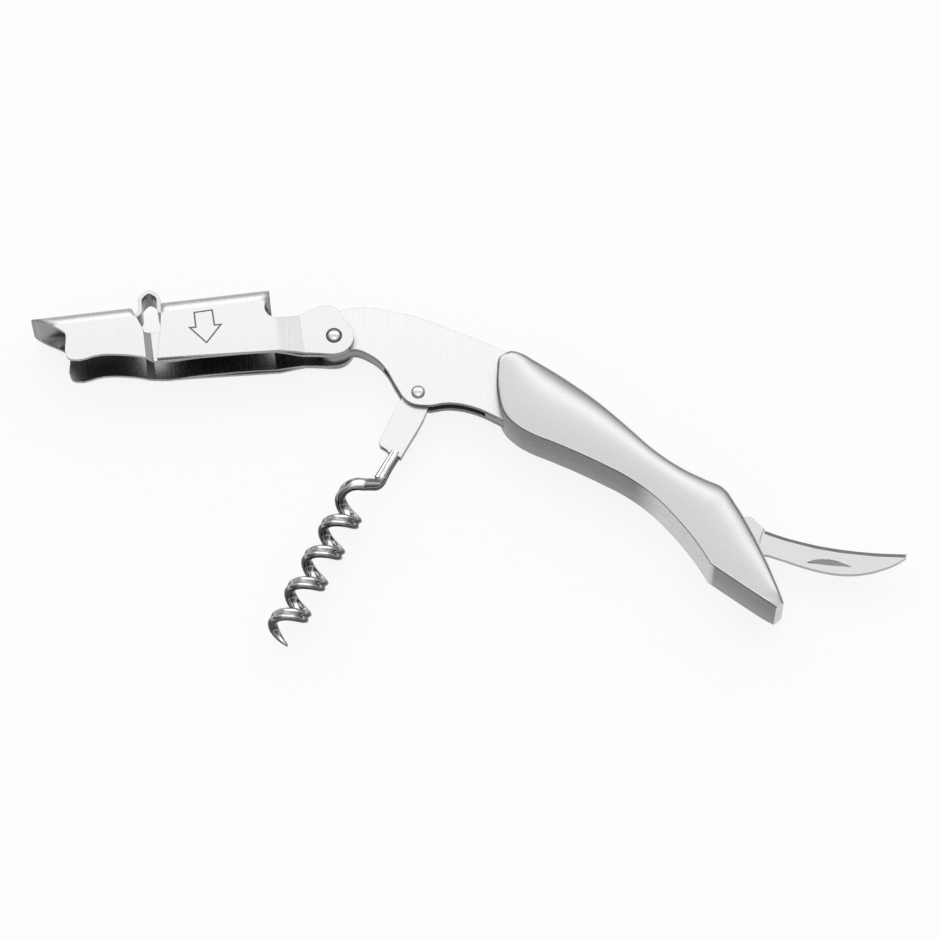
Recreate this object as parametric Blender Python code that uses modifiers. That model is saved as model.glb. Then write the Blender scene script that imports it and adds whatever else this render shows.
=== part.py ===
"""Folding waiter's corkscrew with a two-step lever, a worm and a foil knife.

The frame is two steel liners with spacers between them and a metal scale over each at the rear.
It lies on its side: +X runs from the lever's rivet to the tail, +Z is square to the liners, and
the worm and the levers fold out on the -Y side. Every hinge turns about +Z. The pieces are
modelled in millimetre sizes, each moving group about its own pivot, and an empty on the pivot
turns the group to its opened angle. Last, the whole is shifted so that the origin lies under
the middle of its box.
"""

import bpy
import bmesh
import math
from mathutils import Vector, geometry

MM = 0.001

# Handle: the frame's length from the lever's rivet to the tail, and the unit of its heights
HANDLE_LENGTH = 119 * MM
HANDLE_HEIGHT = 19 * MM
LINER_THICKNESS = 1.1 * MM
SLOT_WIDTH = 2.4 * MM
SCALE_THICKNESS = 3.45 * MM
SCALE_LIP = 0.9 * MM

# Scale's crown: a round shoulder along the back, lower and narrower towards the tail, a gentle
# rise across to the lower ridge, a rounded ridge and front end, and a tail that slopes down
SHOULDER_WIDTH = 3.8 * MM
SHOULDER_DROP = 2.5 * MM
TAIL_SHOULDER_SHARE = 0.5
CROWN_SHARE = 0.045
RIDGE_RADIUS = 0.6 * MM
FRONT_RADIUS = 1.5 * MM
FRONT_END_SHARES = (0.33, 0.39)
TAIL_REACH = 4.5 * MM
TAIL_DROP = 1.9 * MM

# Clearances: between pieces that are seated on each other, and round a shaft in its hole
SEAT_GAP = 0.15 * MM
BORE_GAP = 0.1 * MM

# Levers: pressed channels, the long one running inside the step lever as far as the rivet.
# Places along a lever run from the rivet, and its back is on the -Y side
LEVER_LENGTH = 67.5 * MM
LEVER_DEPTH = 12.8 * MM
LEVER_WIDTH = 13 * MM
LEVER_SHEET = 0.85 * MM
LEVER_BEND = 2.2 * MM
LONG_BACK_SHARE = 0.972
BACK_START_SHARE = 0.676
EAR_RADIUS = 4.5 * MM
SPRING_WIDTH = 6.8 * MM
SPRING_SHEET = 0.85 * MM

# Worm: a grooved wire helix, oval in section, whose flattened end sits in a folded tang
LEAD_RADIUS = 1.3 * MM
WIRE_DEPTH = 2.3 * MM
WIRE_WIDTH = 3 * MM
GROOVE_DEPTH = 0.45 * MM
HELIX_RADIUS = 3 * MM
HELIX_PITCH = 8.3 * MM
HELIX_TURNS = 4.87
HELIX_START = 25.5 * MM
HELIX_OFFSET = -1.75 * MM
TANG_LENGTH = 15.6 * MM
TANG_WIDTH = 6 * MM
TANG_THICKNESS = 2.1 * MM
TANG_SHEET = 0.7 * MM
WIRE_OFFSET = 1.75 * MM
FIRST_TURN_RISE = 1.4 * MM
POINT_SHARE = 0.15
POINT_TURNS = 0.5
FLAT_WIDTH_SHARE = 0.6
FLAT_START_SHARE = 0.4

# Foil knife
KNIFE_LENGTH = 36.6 * MM
KNIFE_DEPTH = 6.6 * MM
KNIFE_THICKNESS = 1.2 * MM
KNIFE_BEVEL = 1.0 * MM
EDGE_THIN_SHARE = 0.2
NICK_LENGTH = 10.2 * MM
NICK_DEPTH = 1.3 * MM
NICK_FLOOR_SHARE = 0.15
WASHER_RADIUS = 2.6 * MM
WASHER_THICKNESS = 0.3 * MM

# Rivets and pins
LEVER_RIVET_RADIUS = 1.3 * MM
LEVER_HEAD_RADIUS = 1.85 * MM
WORM_RIVET_RADIUS = 1.1 * MM
WORM_HEAD_RADIUS = 1.55 * MM
HEAD_HEIGHT = 0.55 * MM
PIN_RADIUS = 0.8 * MM
PIN_REACH = 1.2 * MM

# Opened angles of the levers, the worm and the knife, in degrees from +X
LEVER_ANGLE = 220.4
WORM_ANGLE = -83.0
KNIFE_ANGLE = 27.0

# Counts, angles in degrees and cutting allowances
CURVE_STEPS = 4
ROUND_SIDES = 24
BEND_STEPS = 4
WIRE_STEPS = 14
WIRE_SIDES = 16
LEAD_ANGLE = 75
OVAL_ANGLE = 110
GROOVE_ANGLES = (110, 190)
DOME_STEPS = 4
ROUTE_STEPS = 3
FLAT_STEPS = 3
FLAT_ANGLE = 0.5
OVERRUN = 2 * MM
WELD = 0.001 * MM

# Heights above the middle of the frame
LINER_LOW = SLOT_WIDTH / 2
LINER_HIGH = LINER_LOW + LINER_THICKNESS
SPACER_HIGH = LINER_LOW - SEAT_GAP
SCALE_LOW = LINER_HIGH + SEAT_GAP
SCALE_HIGH = SCALE_LOW + SCALE_THICKNESS
LONG_EAR_HIGH = LINER_HIGH + SEAT_GAP + LEVER_SHEET
STEP_EAR_HIGH = LONG_EAR_HIGH + SEAT_GAP + LEVER_SHEET
LEVER_HALF = LEVER_WIDTH / 2
TAIL_HALF = LEVER_HALF - LEVER_SHEET - SEAT_GAP

# Pivots, as shares of the handle's length and height
WORM_PIVOT_SHARES = (0.194, -0.032)
KNIFE_PIVOT_SHARES = (0.868, 0.439)
FRONT_PIN_SHARES = (0.370, 0.560)
MIDDLE_PIN_SHARES = (0.500, 0.560)
REAR_PIN_SHARES = (0.950, 0.105)

SOFT = "AUTO"
SHARP = "VECTOR"

# Upper edge of the handle from the scale's front corner to the tail. Each of its points pairs
# with one of the lower edge and the front end, which have as many, counted from the tail
HANDLE_TOP_SHARES = [
    (0.296, 0.935, SOFT), (0.318, 1.007, SOFT), (0.345, 1.023, SOFT), (0.372, 1.031, SOFT),
    (0.400, 1.032, SOFT), (0.433, 1.022, SOFT), (0.482, 0.995, SOFT), (0.530, 0.948, SOFT),
    (0.580, 0.886, SOFT), (0.634, 0.818, SOFT), (0.700, 0.795, SOFT), (0.750, 0.828, SOFT),
    (0.785, 0.855, SOFT), (0.820, 0.762, SOFT), (0.876, 0.563, SOFT), (0.925, 0.356, SOFT),
    (0.966, 0.163, SOFT), (1.0007, -0.007, SHARP),
]

# Lower edge of the handle from the tail to the scale's front corner
HANDLE_LOWER_SHARES = [
    (0.9945, -0.121, SHARP), (0.950, -0.113, SOFT), (0.905, -0.099, SOFT), (0.847, -0.079, SHARP),
    (0.808, 0.045, SOFT), (0.771, 0.137, SOFT), (0.735, 0.212, SOFT), (0.687, 0.287, SOFT),
    (0.624, 0.321, SOFT), (0.570, 0.300, SOFT), (0.519, 0.266, SOFT), (0.470, 0.222, SOFT),
    (0.422, 0.174, SOFT), (0.387, 0.179, SOFT),
]

# Front end of the scale, from its lower corner up
SCALE_END_SHARES = [
    (0.357, 0.236, SOFT), (0.331, 0.380, SOFT), (0.301, 0.650, SOFT), (0.289, 0.830, SOFT),
]

# Front part of the liners: the nose and its upper edge, then the lower edge back to the nose
NOSE_TOP_SHARES = [
    (-0.036, -0.010, SOFT), (-0.036, 0.131, SOFT), (-0.010, 0.432, SOFT), (0.075, 0.710, SOFT),
]
FRAME_TOP_SHARES = [
    (0.134, 0.815, SOFT), (0.184, 0.868, SOFT), (0.234, 0.926, SOFT), (0.290, 0.974, SOFT),
]
FRAME_LOWER_SHARES = [
    (0.353, 0.213, SOFT), (0.301, 0.171, SOFT), (0.256, 0.058, SOFT), (0.219, -0.132, SOFT),
    (0.188, -0.195, SOFT), (0.156, -0.116, SOFT),
]
NOSE_LOWER_SHARES = [
    (0.110, 0.032, SOFT), (0.076, 0.063, SOFT), (0.039, 0.003, SOFT), (0.030, -0.100, SOFT),
    (0.008, -0.205, SOFT), (-0.021, -0.174, SOFT),
]

# Nose spacer: its rear end, from the upper edge down to the lower one
NOSE_REAR_SHARES = [(0.134, 0.800, SHARP), (0.110, 0.032, SHARP)]

# Handle spacer: its front end and upper edge, back along the knife's slot to the tail block
SPACER_TOP_SHARES = [
    (0.322, 0.192, SHARP), (0.320, 0.560, SOFT), (0.345, 0.930, SHARP), (0.430, 0.940, SOFT),
    (0.530, 0.880, SHARP), (0.555, 0.500, SHARP), (0.600, 0.480, SOFT), (0.700, 0.440, SOFT),
    (0.790, 0.230, SOFT), (0.840, 0.090, SOFT), (0.880, 0.045, SHARP), (0.883, 0.215, SHARP),
    (0.915, 0.420, SHARP),
]

# Long lever, as shares of the lever's length and depth, from the beak round its open side
LONG_LEVER_SHARES = [
    (0.892, -0.594, SOFT), (0.889, -0.530, SOFT), (0.893, -0.130, SOFT), (0.878, -0.055, SOFT),
    (0.780, -0.085, SOFT), (0.700, -0.030, SOFT), (0.640, 0.055, SOFT), (0.605, 0.130, SOFT),
    (0.450, 0.150, SOFT), (0.200, 0.215, SOFT), (0.080, 0.300, SOFT),
]
LONG_LEVER_TOP_SHARES = [
    (0.090, -0.330, SOFT), (0.200, -0.350, SOFT), (0.450, -0.380, SOFT), (0.627, -0.420, SHARP),
]

# Step lever: its end over the long lever, its open side, then the back and the cap lifter
STEP_LEVER_SHARES = [
    (0.556, -1.000, SHARP), (0.575, -0.403, SOFT), (0.595, 0.110, SHARP), (0.452, 0.148, SOFT),
    (0.319, 0.192, SOFT), (0.200, 0.230, SOFT), (0.107, 0.262, SOFT), (0.054, 0.306, SOFT),
]
CAP_LIFTER_SHARES = [
    (-0.012, -0.546, SOFT), (0.021, -0.594, SOFT), (0.083, -0.508, SOFT), (0.111, -0.450, SOFT),
    (0.162, -0.418, SOFT), (0.186, -0.402, SOFT), (0.205, -0.450, SOFT), (0.218, -0.560, SOFT),
    (0.217, -0.700, SOFT), (0.206, -0.820, SOFT), (0.197, -0.900, SHARP), (0.197, -1.000, SHARP),
]

# Round ends of the levers about the rivet: first and last angle in degrees, and points
LONG_EAR_ARC = (80, 290, 8)
STEP_EAR_ARC = (82, 225, 7)

# Places along the levers where the channel changes width
JOGGLE_SHARES = (0.606, 0.632)
NARROWING_SHARES = (0.112, 0.200)
STEP_NARROWING_SHARES = (0.103, 0.191)

# Spring strip: the middle of its sheet, from under the step lever's back to under the front
SPRING_SHARES = [
    (0.470, -0.865), (0.535, -0.870), (0.560, -0.878), (0.5675, -0.895), (0.571, -0.934),
    (0.570, -1.060), (0.572, -1.190), (0.600, -1.300), (0.629, -1.190), (0.633, -1.060),
    (0.636, -0.930), (0.657, -0.865), (0.730, -0.855),
]

# Knife, as shares of its length and depth, from the heel along the edge to the point and back
KNIFE_SHARES = [
    (0.007, 1.000, SHARP), (0.044, 1.000, SHARP), (0.131, 0.582, SHARP), (0.252, 0.409, SOFT),
    (0.440, 0.235, SOFT), (0.590, 0.165, SOFT), (0.810, 0.155, SOFT), (0.992, 0.218, SHARP),
    (1.000, 0.180, SHARP), (0.997, 0.068, SHARP), (0.945, -0.162, SOFT), (0.852, -0.440, SOFT),
    (0.745, -0.650, SOFT), (0.635, -0.745, SOFT), (0.525, -0.733, SOFT), (0.376, -0.600, SOFT),
    (0.227, -0.400, SOFT), (0.145, -0.318, SOFT), (0.068, -0.390, SOFT), (0.000, -0.455, SOFT),
    (-0.058, -0.320, SOFT), (-0.082, 0.000, SOFT), (-0.066, 0.280, SOFT), (-0.030, 0.620, SOFT),
]
NICK_SHARES = (0.535, -0.459)

# Wire's way out of the tang, as shares of the helix's start and radius
LEAD_SHARES = [
    (0.745, 0.514, 0), (0.838, 0.523, 0), (0.894, 0.539, 0.117), (0.939, 0.415, 0.333),
    (0.973, 0.085, 0.633),
]

# Tang outline, as shares of its length and width
TANG_SHARES = [
    (-0.180, 0.000, SOFT), (-0.110, -0.380, SOFT), (0.060, -0.460, SOFT), (0.915, -0.460, SHARP),
    (0.960, -0.350, SHARP), (0.975, -0.050, SHARP), (1.000, 0.050, SHARP), (1.000, 0.560, SHARP),
    (0.060, 0.560, SOFT), (-0.120, 0.400, SOFT),
]


def clear_scene():
    """Starts from an empty scene."""
    for old in list(bpy.data.objects):
        bpy.data.objects.remove(old, do_unlink=True)


def collection(name):
    """A new collection in the scene."""
    made = bpy.data.collections.new(name)
    bpy.context.scene.collection.children.link(made)
    return made


clear_scene()
PARTS = collection("waiters_corkscrew")
CUTTERS = collection("cutters")


def pivot(name, place, angle, parent):
    """An empty on a hinge's axis, turned to the opened angle."""
    empty = bpy.data.objects.new(name, None)
    PARTS.objects.link(empty)
    empty.location = place
    empty.rotation_euler.z = math.radians(angle)
    empty.parent = parent
    return empty


def finish(obj, colour, roughness, metallic, crease=30):
    """Gives a piece its own material and shades it smooth except over sharp edges."""
    made = bpy.data.materials.new(obj.name + "_material")
    made.use_nodes = True
    shader = made.node_tree.nodes["Principled BSDF"]
    shader.inputs["Base Color"].default_value = (*colour, 1)
    shader.inputs["Roughness"].default_value = roughness
    shader.inputs["Metallic"].default_value = metallic
    obj.data.materials.append(made)
    obj.data.shade_smooth()
    obj.data.set_sharp_from_angle(angle=math.radians(crease))
    return obj


def piece(name, mesh, parent, cutter=False):
    """Links a mesh as a piece of the object, or as a cutter."""
    obj = bpy.data.objects.new(name, mesh)
    (CUTTERS if cutter else PARTS).objects.link(obj)
    obj.parent = parent
    if cutter:
        obj.hide_render = True
        obj.display_type = "WIRE"
    return obj


def curve_mesh(name, curve):
    """Turns a curve into a welded mesh and removes the curve."""
    holder = bpy.data.objects.new(name + "_curve", curve)
    bpy.context.scene.collection.objects.link(holder)
    bpy.context.view_layer.update()
    evaluated = holder.evaluated_get(bpy.context.evaluated_depsgraph_get())
    mesh = bpy.data.meshes.new_from_object(evaluated)
    mesh.name = name
    bpy.data.objects.remove(holder, do_unlink=True)
    work = bmesh.new()
    work.from_mesh(mesh)
    bmesh.ops.remove_doubles(work, verts=work.verts, dist=WELD)
    bmesh.ops.recalc_face_normals(work, faces=work.faces)
    work.to_mesh(mesh)
    work.free()
    return mesh


def outline_curve(name, points):
    """A closed flat curve through points of (x, y, kind of corner)."""
    curve = bpy.data.curves.new(name, "CURVE")
    curve.resolution_u = CURVE_STEPS
    spline = curve.splines.new("BEZIER")
    spline.bezier_points.add(len(points) - 1)
    spline.use_cyclic_u = True
    for knot, (x, y, kind) in zip(spline.bezier_points, points):
        knot.co = (x, y, 0)
        knot.handle_left_type = kind
        knot.handle_right_type = kind
    return curve


def outline_mesh(name, points, low, high):
    """A flat plate between two heights, from an outline of (x, y, kind of corner)."""
    curve = outline_curve(name, points)
    curve.dimensions = "2D"
    curve.fill_mode = "BOTH"
    curve.extrude = (high - low) / 2
    mesh = curve_mesh(name, curve)
    work = bmesh.new()
    work.from_mesh(mesh)
    bmesh.ops.translate(work, vec=(0, 0, (low + high) / 2), verts=work.verts)
    bmesh.ops.dissolve_limit(work, angle_limit=math.radians(FLAT_ANGLE), verts=work.verts,
                             edges=work.edges)
    work.to_mesh(mesh)
    work.free()
    return mesh


def sized(shares, length, height, lift=0):
    """Turns an outline's shares into sizes, lifted in y where a lift is given."""
    return [(x * length, y * height + lift, kind) for x, y, kind in shares]


def handle_points(shares, lift=0):
    """An outline of the handle in real sizes."""
    return sized(shares, HANDLE_LENGTH, HANDLE_HEIGHT, lift)


def handle_place(shares):
    """A place on the handle in real sizes."""
    return (shares[0] * HANDLE_LENGTH, shares[1] * HANDLE_HEIGHT, 0)


def arc_points(radius, start, end, count):
    """Smooth outline points on an arc about the pivot, angles in degrees."""
    steps = [math.radians(start + (end - start) * i / (count - 1)) for i in range(count)]
    return [(radius * math.cos(a), radius * math.sin(a), SOFT) for a in steps]


def drill(name, place, radius, low, high, parent):
    """A round cutter square to the liners."""
    mesh = bpy.data.meshes.new(name)
    work = bmesh.new()
    bmesh.ops.create_cone(work, cap_ends=True, segments=ROUND_SIDES, radius1=radius,
                          radius2=radius, depth=high - low)
    bmesh.ops.translate(work, vec=(place[0], place[1], (low + high) / 2), verts=work.verts)
    work.to_mesh(mesh)
    work.free()
    return piece(name, mesh, parent, cutter=True)


def boolean(obj, cutter, operation="DIFFERENCE"):
    """Cuts a piece with another body."""
    change = obj.modifiers.new(operation.lower() + "_" + cutter.name, "BOOLEAN")
    change.operation = operation
    change.solver = "EXACT"
    change.object = cutter
    return obj


def turned(name, profile, place, parent, ring=False):
    """A turned piece: a profile of (radius, height) from top to bottom, screwed about its axis."""
    mesh = bpy.data.meshes.new(name)
    links = [(i, i + 1) for i in range(len(profile) - 1)]
    if ring:
        links.append((len(profile) - 1, 0))
    mesh.from_pydata([(r, 0, z) for r, z in profile], links, [])
    obj = piece(name, mesh, parent)
    obj.location = place
    screw = obj.modifiers.new("turn", "SCREW")
    screw.steps = ROUND_SIDES
    screw.render_steps = ROUND_SIDES
    screw.use_merge_vertices = True
    screw.merge_threshold = WELD
    screw.use_smooth_shade = True
    return obj


def dome(radius, height, base):
    """Half the profile of a rivet's domed head, from its top to its rim."""
    turns = [math.pi / 2 * i / DOME_STEPS for i in range(DOME_STEPS + 1)]
    return [(radius * math.sin(a), base + height * math.cos(a)) for a in turns]


def rivet(name, shaft, head, seat, place, parent):
    """A rivet with a domed head on each side of what it holds."""
    top = dome(head, HEAD_HEIGHT, seat + SEAT_GAP)
    upper = top + [(shaft, seat + SEAT_GAP)]
    lower = [(r, -z) for r, z in reversed(upper)]
    return turned(name, upper + lower, place, parent)


def pin(name, radius, reach, place, parent):
    """A plain pin, centred on the frame."""
    return turned(name, [(0, reach), (radius, reach), (radius, -reach), (0, -reach)], place, parent)


# The whole stands on one empty, which is shifted at the end
ROOT = pivot("corkscrew_frame", (0, 0, 0), 0, None)
WORM_PLACE = handle_place(WORM_PIVOT_SHARES)
KNIFE_PLACE = handle_place(KNIFE_PIVOT_SHARES)
FRONT_PLACE = handle_place(FRONT_PIN_SHARES)
MIDDLE_PLACE = handle_place(MIDDLE_PIN_SHARES)
REAR_PLACE = handle_place(REAR_PIN_SHARES)
LEVER_PIVOT = pivot("lever_pivot", (0, 0, 0), LEVER_ANGLE, ROOT)
WORM_PIVOT = pivot("worm_pivot", WORM_PLACE, WORM_ANGLE, ROOT)
KNIFE_PIVOT = pivot("knife_pivot", KNIFE_PLACE, KNIFE_ANGLE, ROOT)

# Through holes shared by the liners and spacers
THROUGH = SCALE_HIGH + OVERRUN
LEVER_HOLE = drill("lever_hole", (0, 0), LEVER_RIVET_RADIUS + BORE_GAP, -THROUGH, THROUGH, ROOT)
WORM_HOLE = drill("worm_hole", WORM_PLACE, WORM_RIVET_RADIUS + BORE_GAP, -THROUGH, THROUGH, ROOT)
PIN_HOLES = {
    place_name: drill(place_name + "_hole", place, PIN_RADIUS + BORE_GAP,
                      -(SCALE_LOW + PIN_REACH), SCALE_LOW + PIN_REACH, ROOT)
    for place_name, place in (("front", FRONT_PLACE), ("middle", MIDDLE_PLACE),
                              ("rear", REAR_PLACE), ("knife", KNIFE_PLACE))
}


def inset_lower(distance):
    """The handle's lower edge moved inwards, straight from the tail to the kink."""
    tail, *rest = handle_points(HANDLE_LOWER_SHARES, distance)
    kink = [kind for x, y, kind in rest].index(SHARP)
    return [(tail[0] - distance, tail[1], tail[2])] + rest[kink:]


def inset_tail_top(distance):
    """The handle's upper edge behind the scale's corner, drawn in at the tail's end."""
    points = handle_points(HANDLE_TOP_SHARES[1:])
    tail = points[-1]
    return points[:-1] + [(tail[0] - distance, tail[1] + distance / 2, tail[2])]


def make_liner(name, side):
    """A flat steel side plate of the frame, running from the nose to the tail."""
    inset = SCALE_LIP + SEAT_GAP
    outline = (handle_points(NOSE_TOP_SHARES + FRAME_TOP_SHARES) + inset_tail_top(inset)
               + inset_lower(inset) + handle_points(FRAME_LOWER_SHARES + NOSE_LOWER_SHARES))
    low, high = sorted((side * LINER_LOW, side * LINER_HIGH))
    obj = piece(name, outline_mesh(name, outline, low, high), ROOT)
    for cutter in (LEVER_HOLE, WORM_HOLE, *PIN_HOLES.values()):
        boolean(obj, cutter)
    return finish(obj, (0.62, 0.62, 0.61), 0.32, 1.0)


def make_nose_spacer():
    """The solid front of the frame between the liners, up to the worm's slot."""
    outline = handle_points(NOSE_TOP_SHARES + NOSE_REAR_SHARES + NOSE_LOWER_SHARES[1:])
    mesh = outline_mesh("nose_spacer", outline, -SPACER_HIGH, SPACER_HIGH)
    obj = piece("nose_spacer", mesh, ROOT)
    boolean(obj, LEVER_HOLE)
    return finish(obj, (0.55, 0.55, 0.55), 0.4, 1.0)


def make_handle_spacer():
    """The filler between the liners under the scales, cut away for the folded knife."""
    inset = SCALE_LIP + SEAT_GAP
    tail_top = inset_tail_top(inset)[-2:]
    outline = (inset_lower(inset) + handle_points(FRAME_LOWER_SHARES[:1] + SPACER_TOP_SHARES)
               + tail_top)
    mesh = outline_mesh("handle_spacer", outline, -SPACER_HIGH, SPACER_HIGH)
    obj = piece("handle_spacer", mesh, ROOT)
    for place_name in ("front", "middle", "rear"):
        boolean(obj, PIN_HOLES[place_name])
    return finish(obj, (0.5, 0.5, 0.5), 0.45, 1.0)


def scale_edges():
    """The scale's lower and upper edges as matched points, from the tail to the front corner."""
    curve = outline_curve("scale_edge", handle_points(HANDLE_TOP_SHARES + HANDLE_LOWER_SHARES
                                                      + SCALE_END_SHARES))
    mesh = curve_mesh("scale_edge", curve)
    points = [Vector((*vertex.co[:2], 0)) for vertex in mesh.vertices]
    bpy.data.meshes.remove(mesh)
    count = (len(HANDLE_TOP_SHARES) - 1) * CURVE_STEPS + 1
    return points[count:2 * count], list(reversed(points[:count]))


def line_distance(point, line):
    """The least distance from a point to a line of points."""
    least = []
    for a, b in zip(line, line[1:]):
        foot, share = geometry.intersect_point_line(point, a, b)
        nearest = foot if 0 < share < 1 else (a if share <= 0 else b)
        least.append((nearest - point).length)
    return min(least)


def round_drop(depth, width, height):
    """How far a rounded edge lies below the surface, at some depth in from the edge."""
    out = 1 - min(depth / width, 1)
    return height * (1 - math.sqrt(1 - out * out))


def smooth_step(value, low, high):
    """A smooth change from 0 at the low value to 1 at the high one."""
    share = min(max((value - low) / (high - low), 0), 1)
    return share * share * (3 - 2 * share)


def crown_rung(foot, head, edges):
    """Points across the scale's face between matched points of its lower and upper edges."""
    lower, upper = edges
    width = (head - foot).length
    front, rear = (share * HANDLE_LENGTH for share in FRONT_END_SHARES)
    ridge = RIDGE_RADIUS + (FRONT_RADIUS - RIDGE_RADIUS) * (1 - smooth_step(foot.x, front, rear))
    tail = (head.x - upper[-1].x) / (upper[0].x - upper[-1].x)
    shoulder = 1 - tail * (1 - TAIL_SHOULDER_SHARE)
    low_band = min(ridge, width / 4)
    high_band = min(SHOULDER_WIDTH * shoulder, width / 2)
    round_shares = [1 - math.cos(math.pi / 2 * i / BEND_STEPS) for i in range(BEND_STEPS + 1)]
    places = [low_band * share for share in round_shares]
    flat_band = (width - low_band - high_band) / FLAT_STEPS
    places += [low_band + flat_band * i for i in range(1, FLAT_STEPS)]
    places += [width - high_band * share for share in reversed(round_shares)]
    points = []
    for place in places:
        point = foot + (head - foot) * (place / width)
        drop = CROWN_SHARE * width * (place / width) ** 2
        drop += round_drop(line_distance(point, upper), SHOULDER_WIDTH * shoulder,
                           SHOULDER_DROP * shoulder)
        drop += round_drop(line_distance(point, lower + upper[-1:]), ridge, ridge)
        drop += TAIL_DROP * (1 - min(line_distance(point, [lower[0], upper[0]]) / TAIL_REACH, 1)) ** 2
        points.append(Vector((point.x, point.y, SCALE_HIGH - drop)))
    return points


def make_near_scale():
    """A metal handle scale: a crowned face, and a lip down over the liner's lower edge."""
    edges = scale_edges()
    work = bmesh.new()
    rungs = [[work.verts.new(point) for point in crown_rung(foot, head, edges)]
             for foot, head in zip(*edges)]
    for one, two in zip(rungs, rungs[1:]):
        for i in range(len(one) - 1):
            work.faces.new((one[i], one[i + 1], two[i + 1], two[i]))
    rim = rungs[0] + [rung[-1] for rung in rungs[1:-1]]
    rim += list(reversed(rungs[-1])) + [rung[0] for rung in reversed(rungs[1:-1])]
    base = [work.verts.new((vertex.co.x, vertex.co.y, SEAT_GAP / 2)) for vertex in rim]
    for i in range(len(rim)):
        work.faces.new((rim[i], base[i], base[i - 1], rim[i - 1]))
    work.faces.new(base)
    bmesh.ops.recalc_face_normals(work, faces=work.faces)
    mesh = bpy.data.meshes.new("near_scale")
    work.to_mesh(mesh)
    work.free()
    obj = piece("near_scale", mesh, ROOT)
    boolean(obj, scale_pocket())
    for cutter in PIN_HOLES.values():
        boolean(obj, cutter)
    return finish(obj, (0.45, 0.45, 0.46), 0.38, 1.0)


def make_far_scale(near):
    """The far scale: the near one's shape mirrored through the middle of the frame."""
    bpy.context.view_layer.update()
    shape = near.evaluated_get(bpy.context.evaluated_depsgraph_get())
    mesh = bpy.data.meshes.new_from_object(shape)
    mesh.materials.clear()
    for vertex in mesh.vertices:
        vertex.co.z = -vertex.co.z
    mesh.flip_normals()
    return finish(piece("far_scale", mesh, ROOT), (0.45, 0.45, 0.46), 0.38, 1.0)


def scale_pocket():
    """The room for the liner and spacer under a scale, open along the back."""
    above = HANDLE_HEIGHT + OVERRUN
    front = handle_points(FRAME_LOWER_SHARES[:3], -SEAT_GAP)
    tail_top = inset_tail_top(SCALE_LIP)[-1]
    outline = inset_lower(SCALE_LIP) + front[:2] + [(*front[2][:2], SHARP)]
    outline += [(front[2][0], above, SHARP), (tail_top[0], above, SHARP), tail_top]
    mesh = outline_mesh("scale_pocket", outline, -OVERRUN, SCALE_LOW)
    return piece("scale_pocket", mesh, ROOT, cutter=True)


def channel_mesh(name, stations, back, reach):
    """The outer face of a pressed channel, lofted through stations of (x, half width)."""
    work = bmesh.new()
    rows = []
    for x, half in stations:
        side = [(reach, half)]
        for step in range(BEND_STEPS + 1):
            turn = math.pi / 2 * step / BEND_STEPS
            side.append((back + LEVER_BEND * (1 - math.sin(turn)),
                         half - LEVER_BEND * (1 - math.cos(turn))))
        profile = side + [(y, -z) for y, z in reversed(side)]
        rows.append([work.verts.new((x, y, z)) for y, z in profile])
    for one, two in zip(rows, rows[1:]):
        for i in range(len(one) - 1):
            work.faces.new((one[i], one[i + 1], two[i + 1], two[i]))
    mesh = bpy.data.meshes.new(name)
    work.to_mesh(mesh)
    work.free()
    return mesh


def make_channel(name, stations, back, outline, parent):
    """A lever: a bent sheet cut to the outline of its flanges, with the rivet's hole."""
    obj = piece(name, channel_mesh(name, stations, back, LEVER_DEPTH), parent)
    solid = obj.modifiers.new("sheet", "SOLIDIFY")
    solid.thickness = LEVER_SHEET
    solid.offset = -1
    solid.use_even_offset = True
    side = LEVER_HALF + OVERRUN
    boolean(obj, piece(name + "_outline", outline_mesh(name + "_outline", outline, -side, side),
                       parent, cutter=True), "INTERSECT")
    boolean(obj, LEVER_HOLE)
    return obj


def lever_points(shares):
    """An outline of a lever in real sizes."""
    return sized(shares, LEVER_LENGTH, LEVER_DEPTH)


def make_long_lever():
    """The inner lever: a notched beak at the front and two flat arms back to the rivet."""
    back = -LEVER_DEPTH * LONG_BACK_SHARE
    start = -EAR_RADIUS - OVERRUN
    stations = [
        (start, LONG_EAR_HIGH),
        (NARROWING_SHARES[0] * LEVER_LENGTH, LONG_EAR_HIGH),
        (NARROWING_SHARES[1] * LEVER_LENGTH, TAIL_HALF),
        (JOGGLE_SHARES[0] * LEVER_LENGTH, TAIL_HALF),
        (JOGGLE_SHARES[1] * LEVER_LENGTH, LEVER_HALF),
        (LEVER_LENGTH + OVERRUN, LEVER_HALF),
    ]
    beak = [(LEVER_LENGTH * BACK_START_SHARE, back - OVERRUN, SHARP),
            (LEVER_LENGTH, back - OVERRUN, SHARP), (LEVER_LENGTH, back, SHARP)]
    outline = (beak + lever_points(LONG_LEVER_SHARES) + arc_points(EAR_RADIUS, *LONG_EAR_ARC)
               + lever_points(LONG_LEVER_TOP_SHARES))
    obj = make_channel("long_lever", stations, back, outline, LEVER_PIVOT)
    return finish(obj, (0.68, 0.68, 0.67), 0.3, 1.0)


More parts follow.
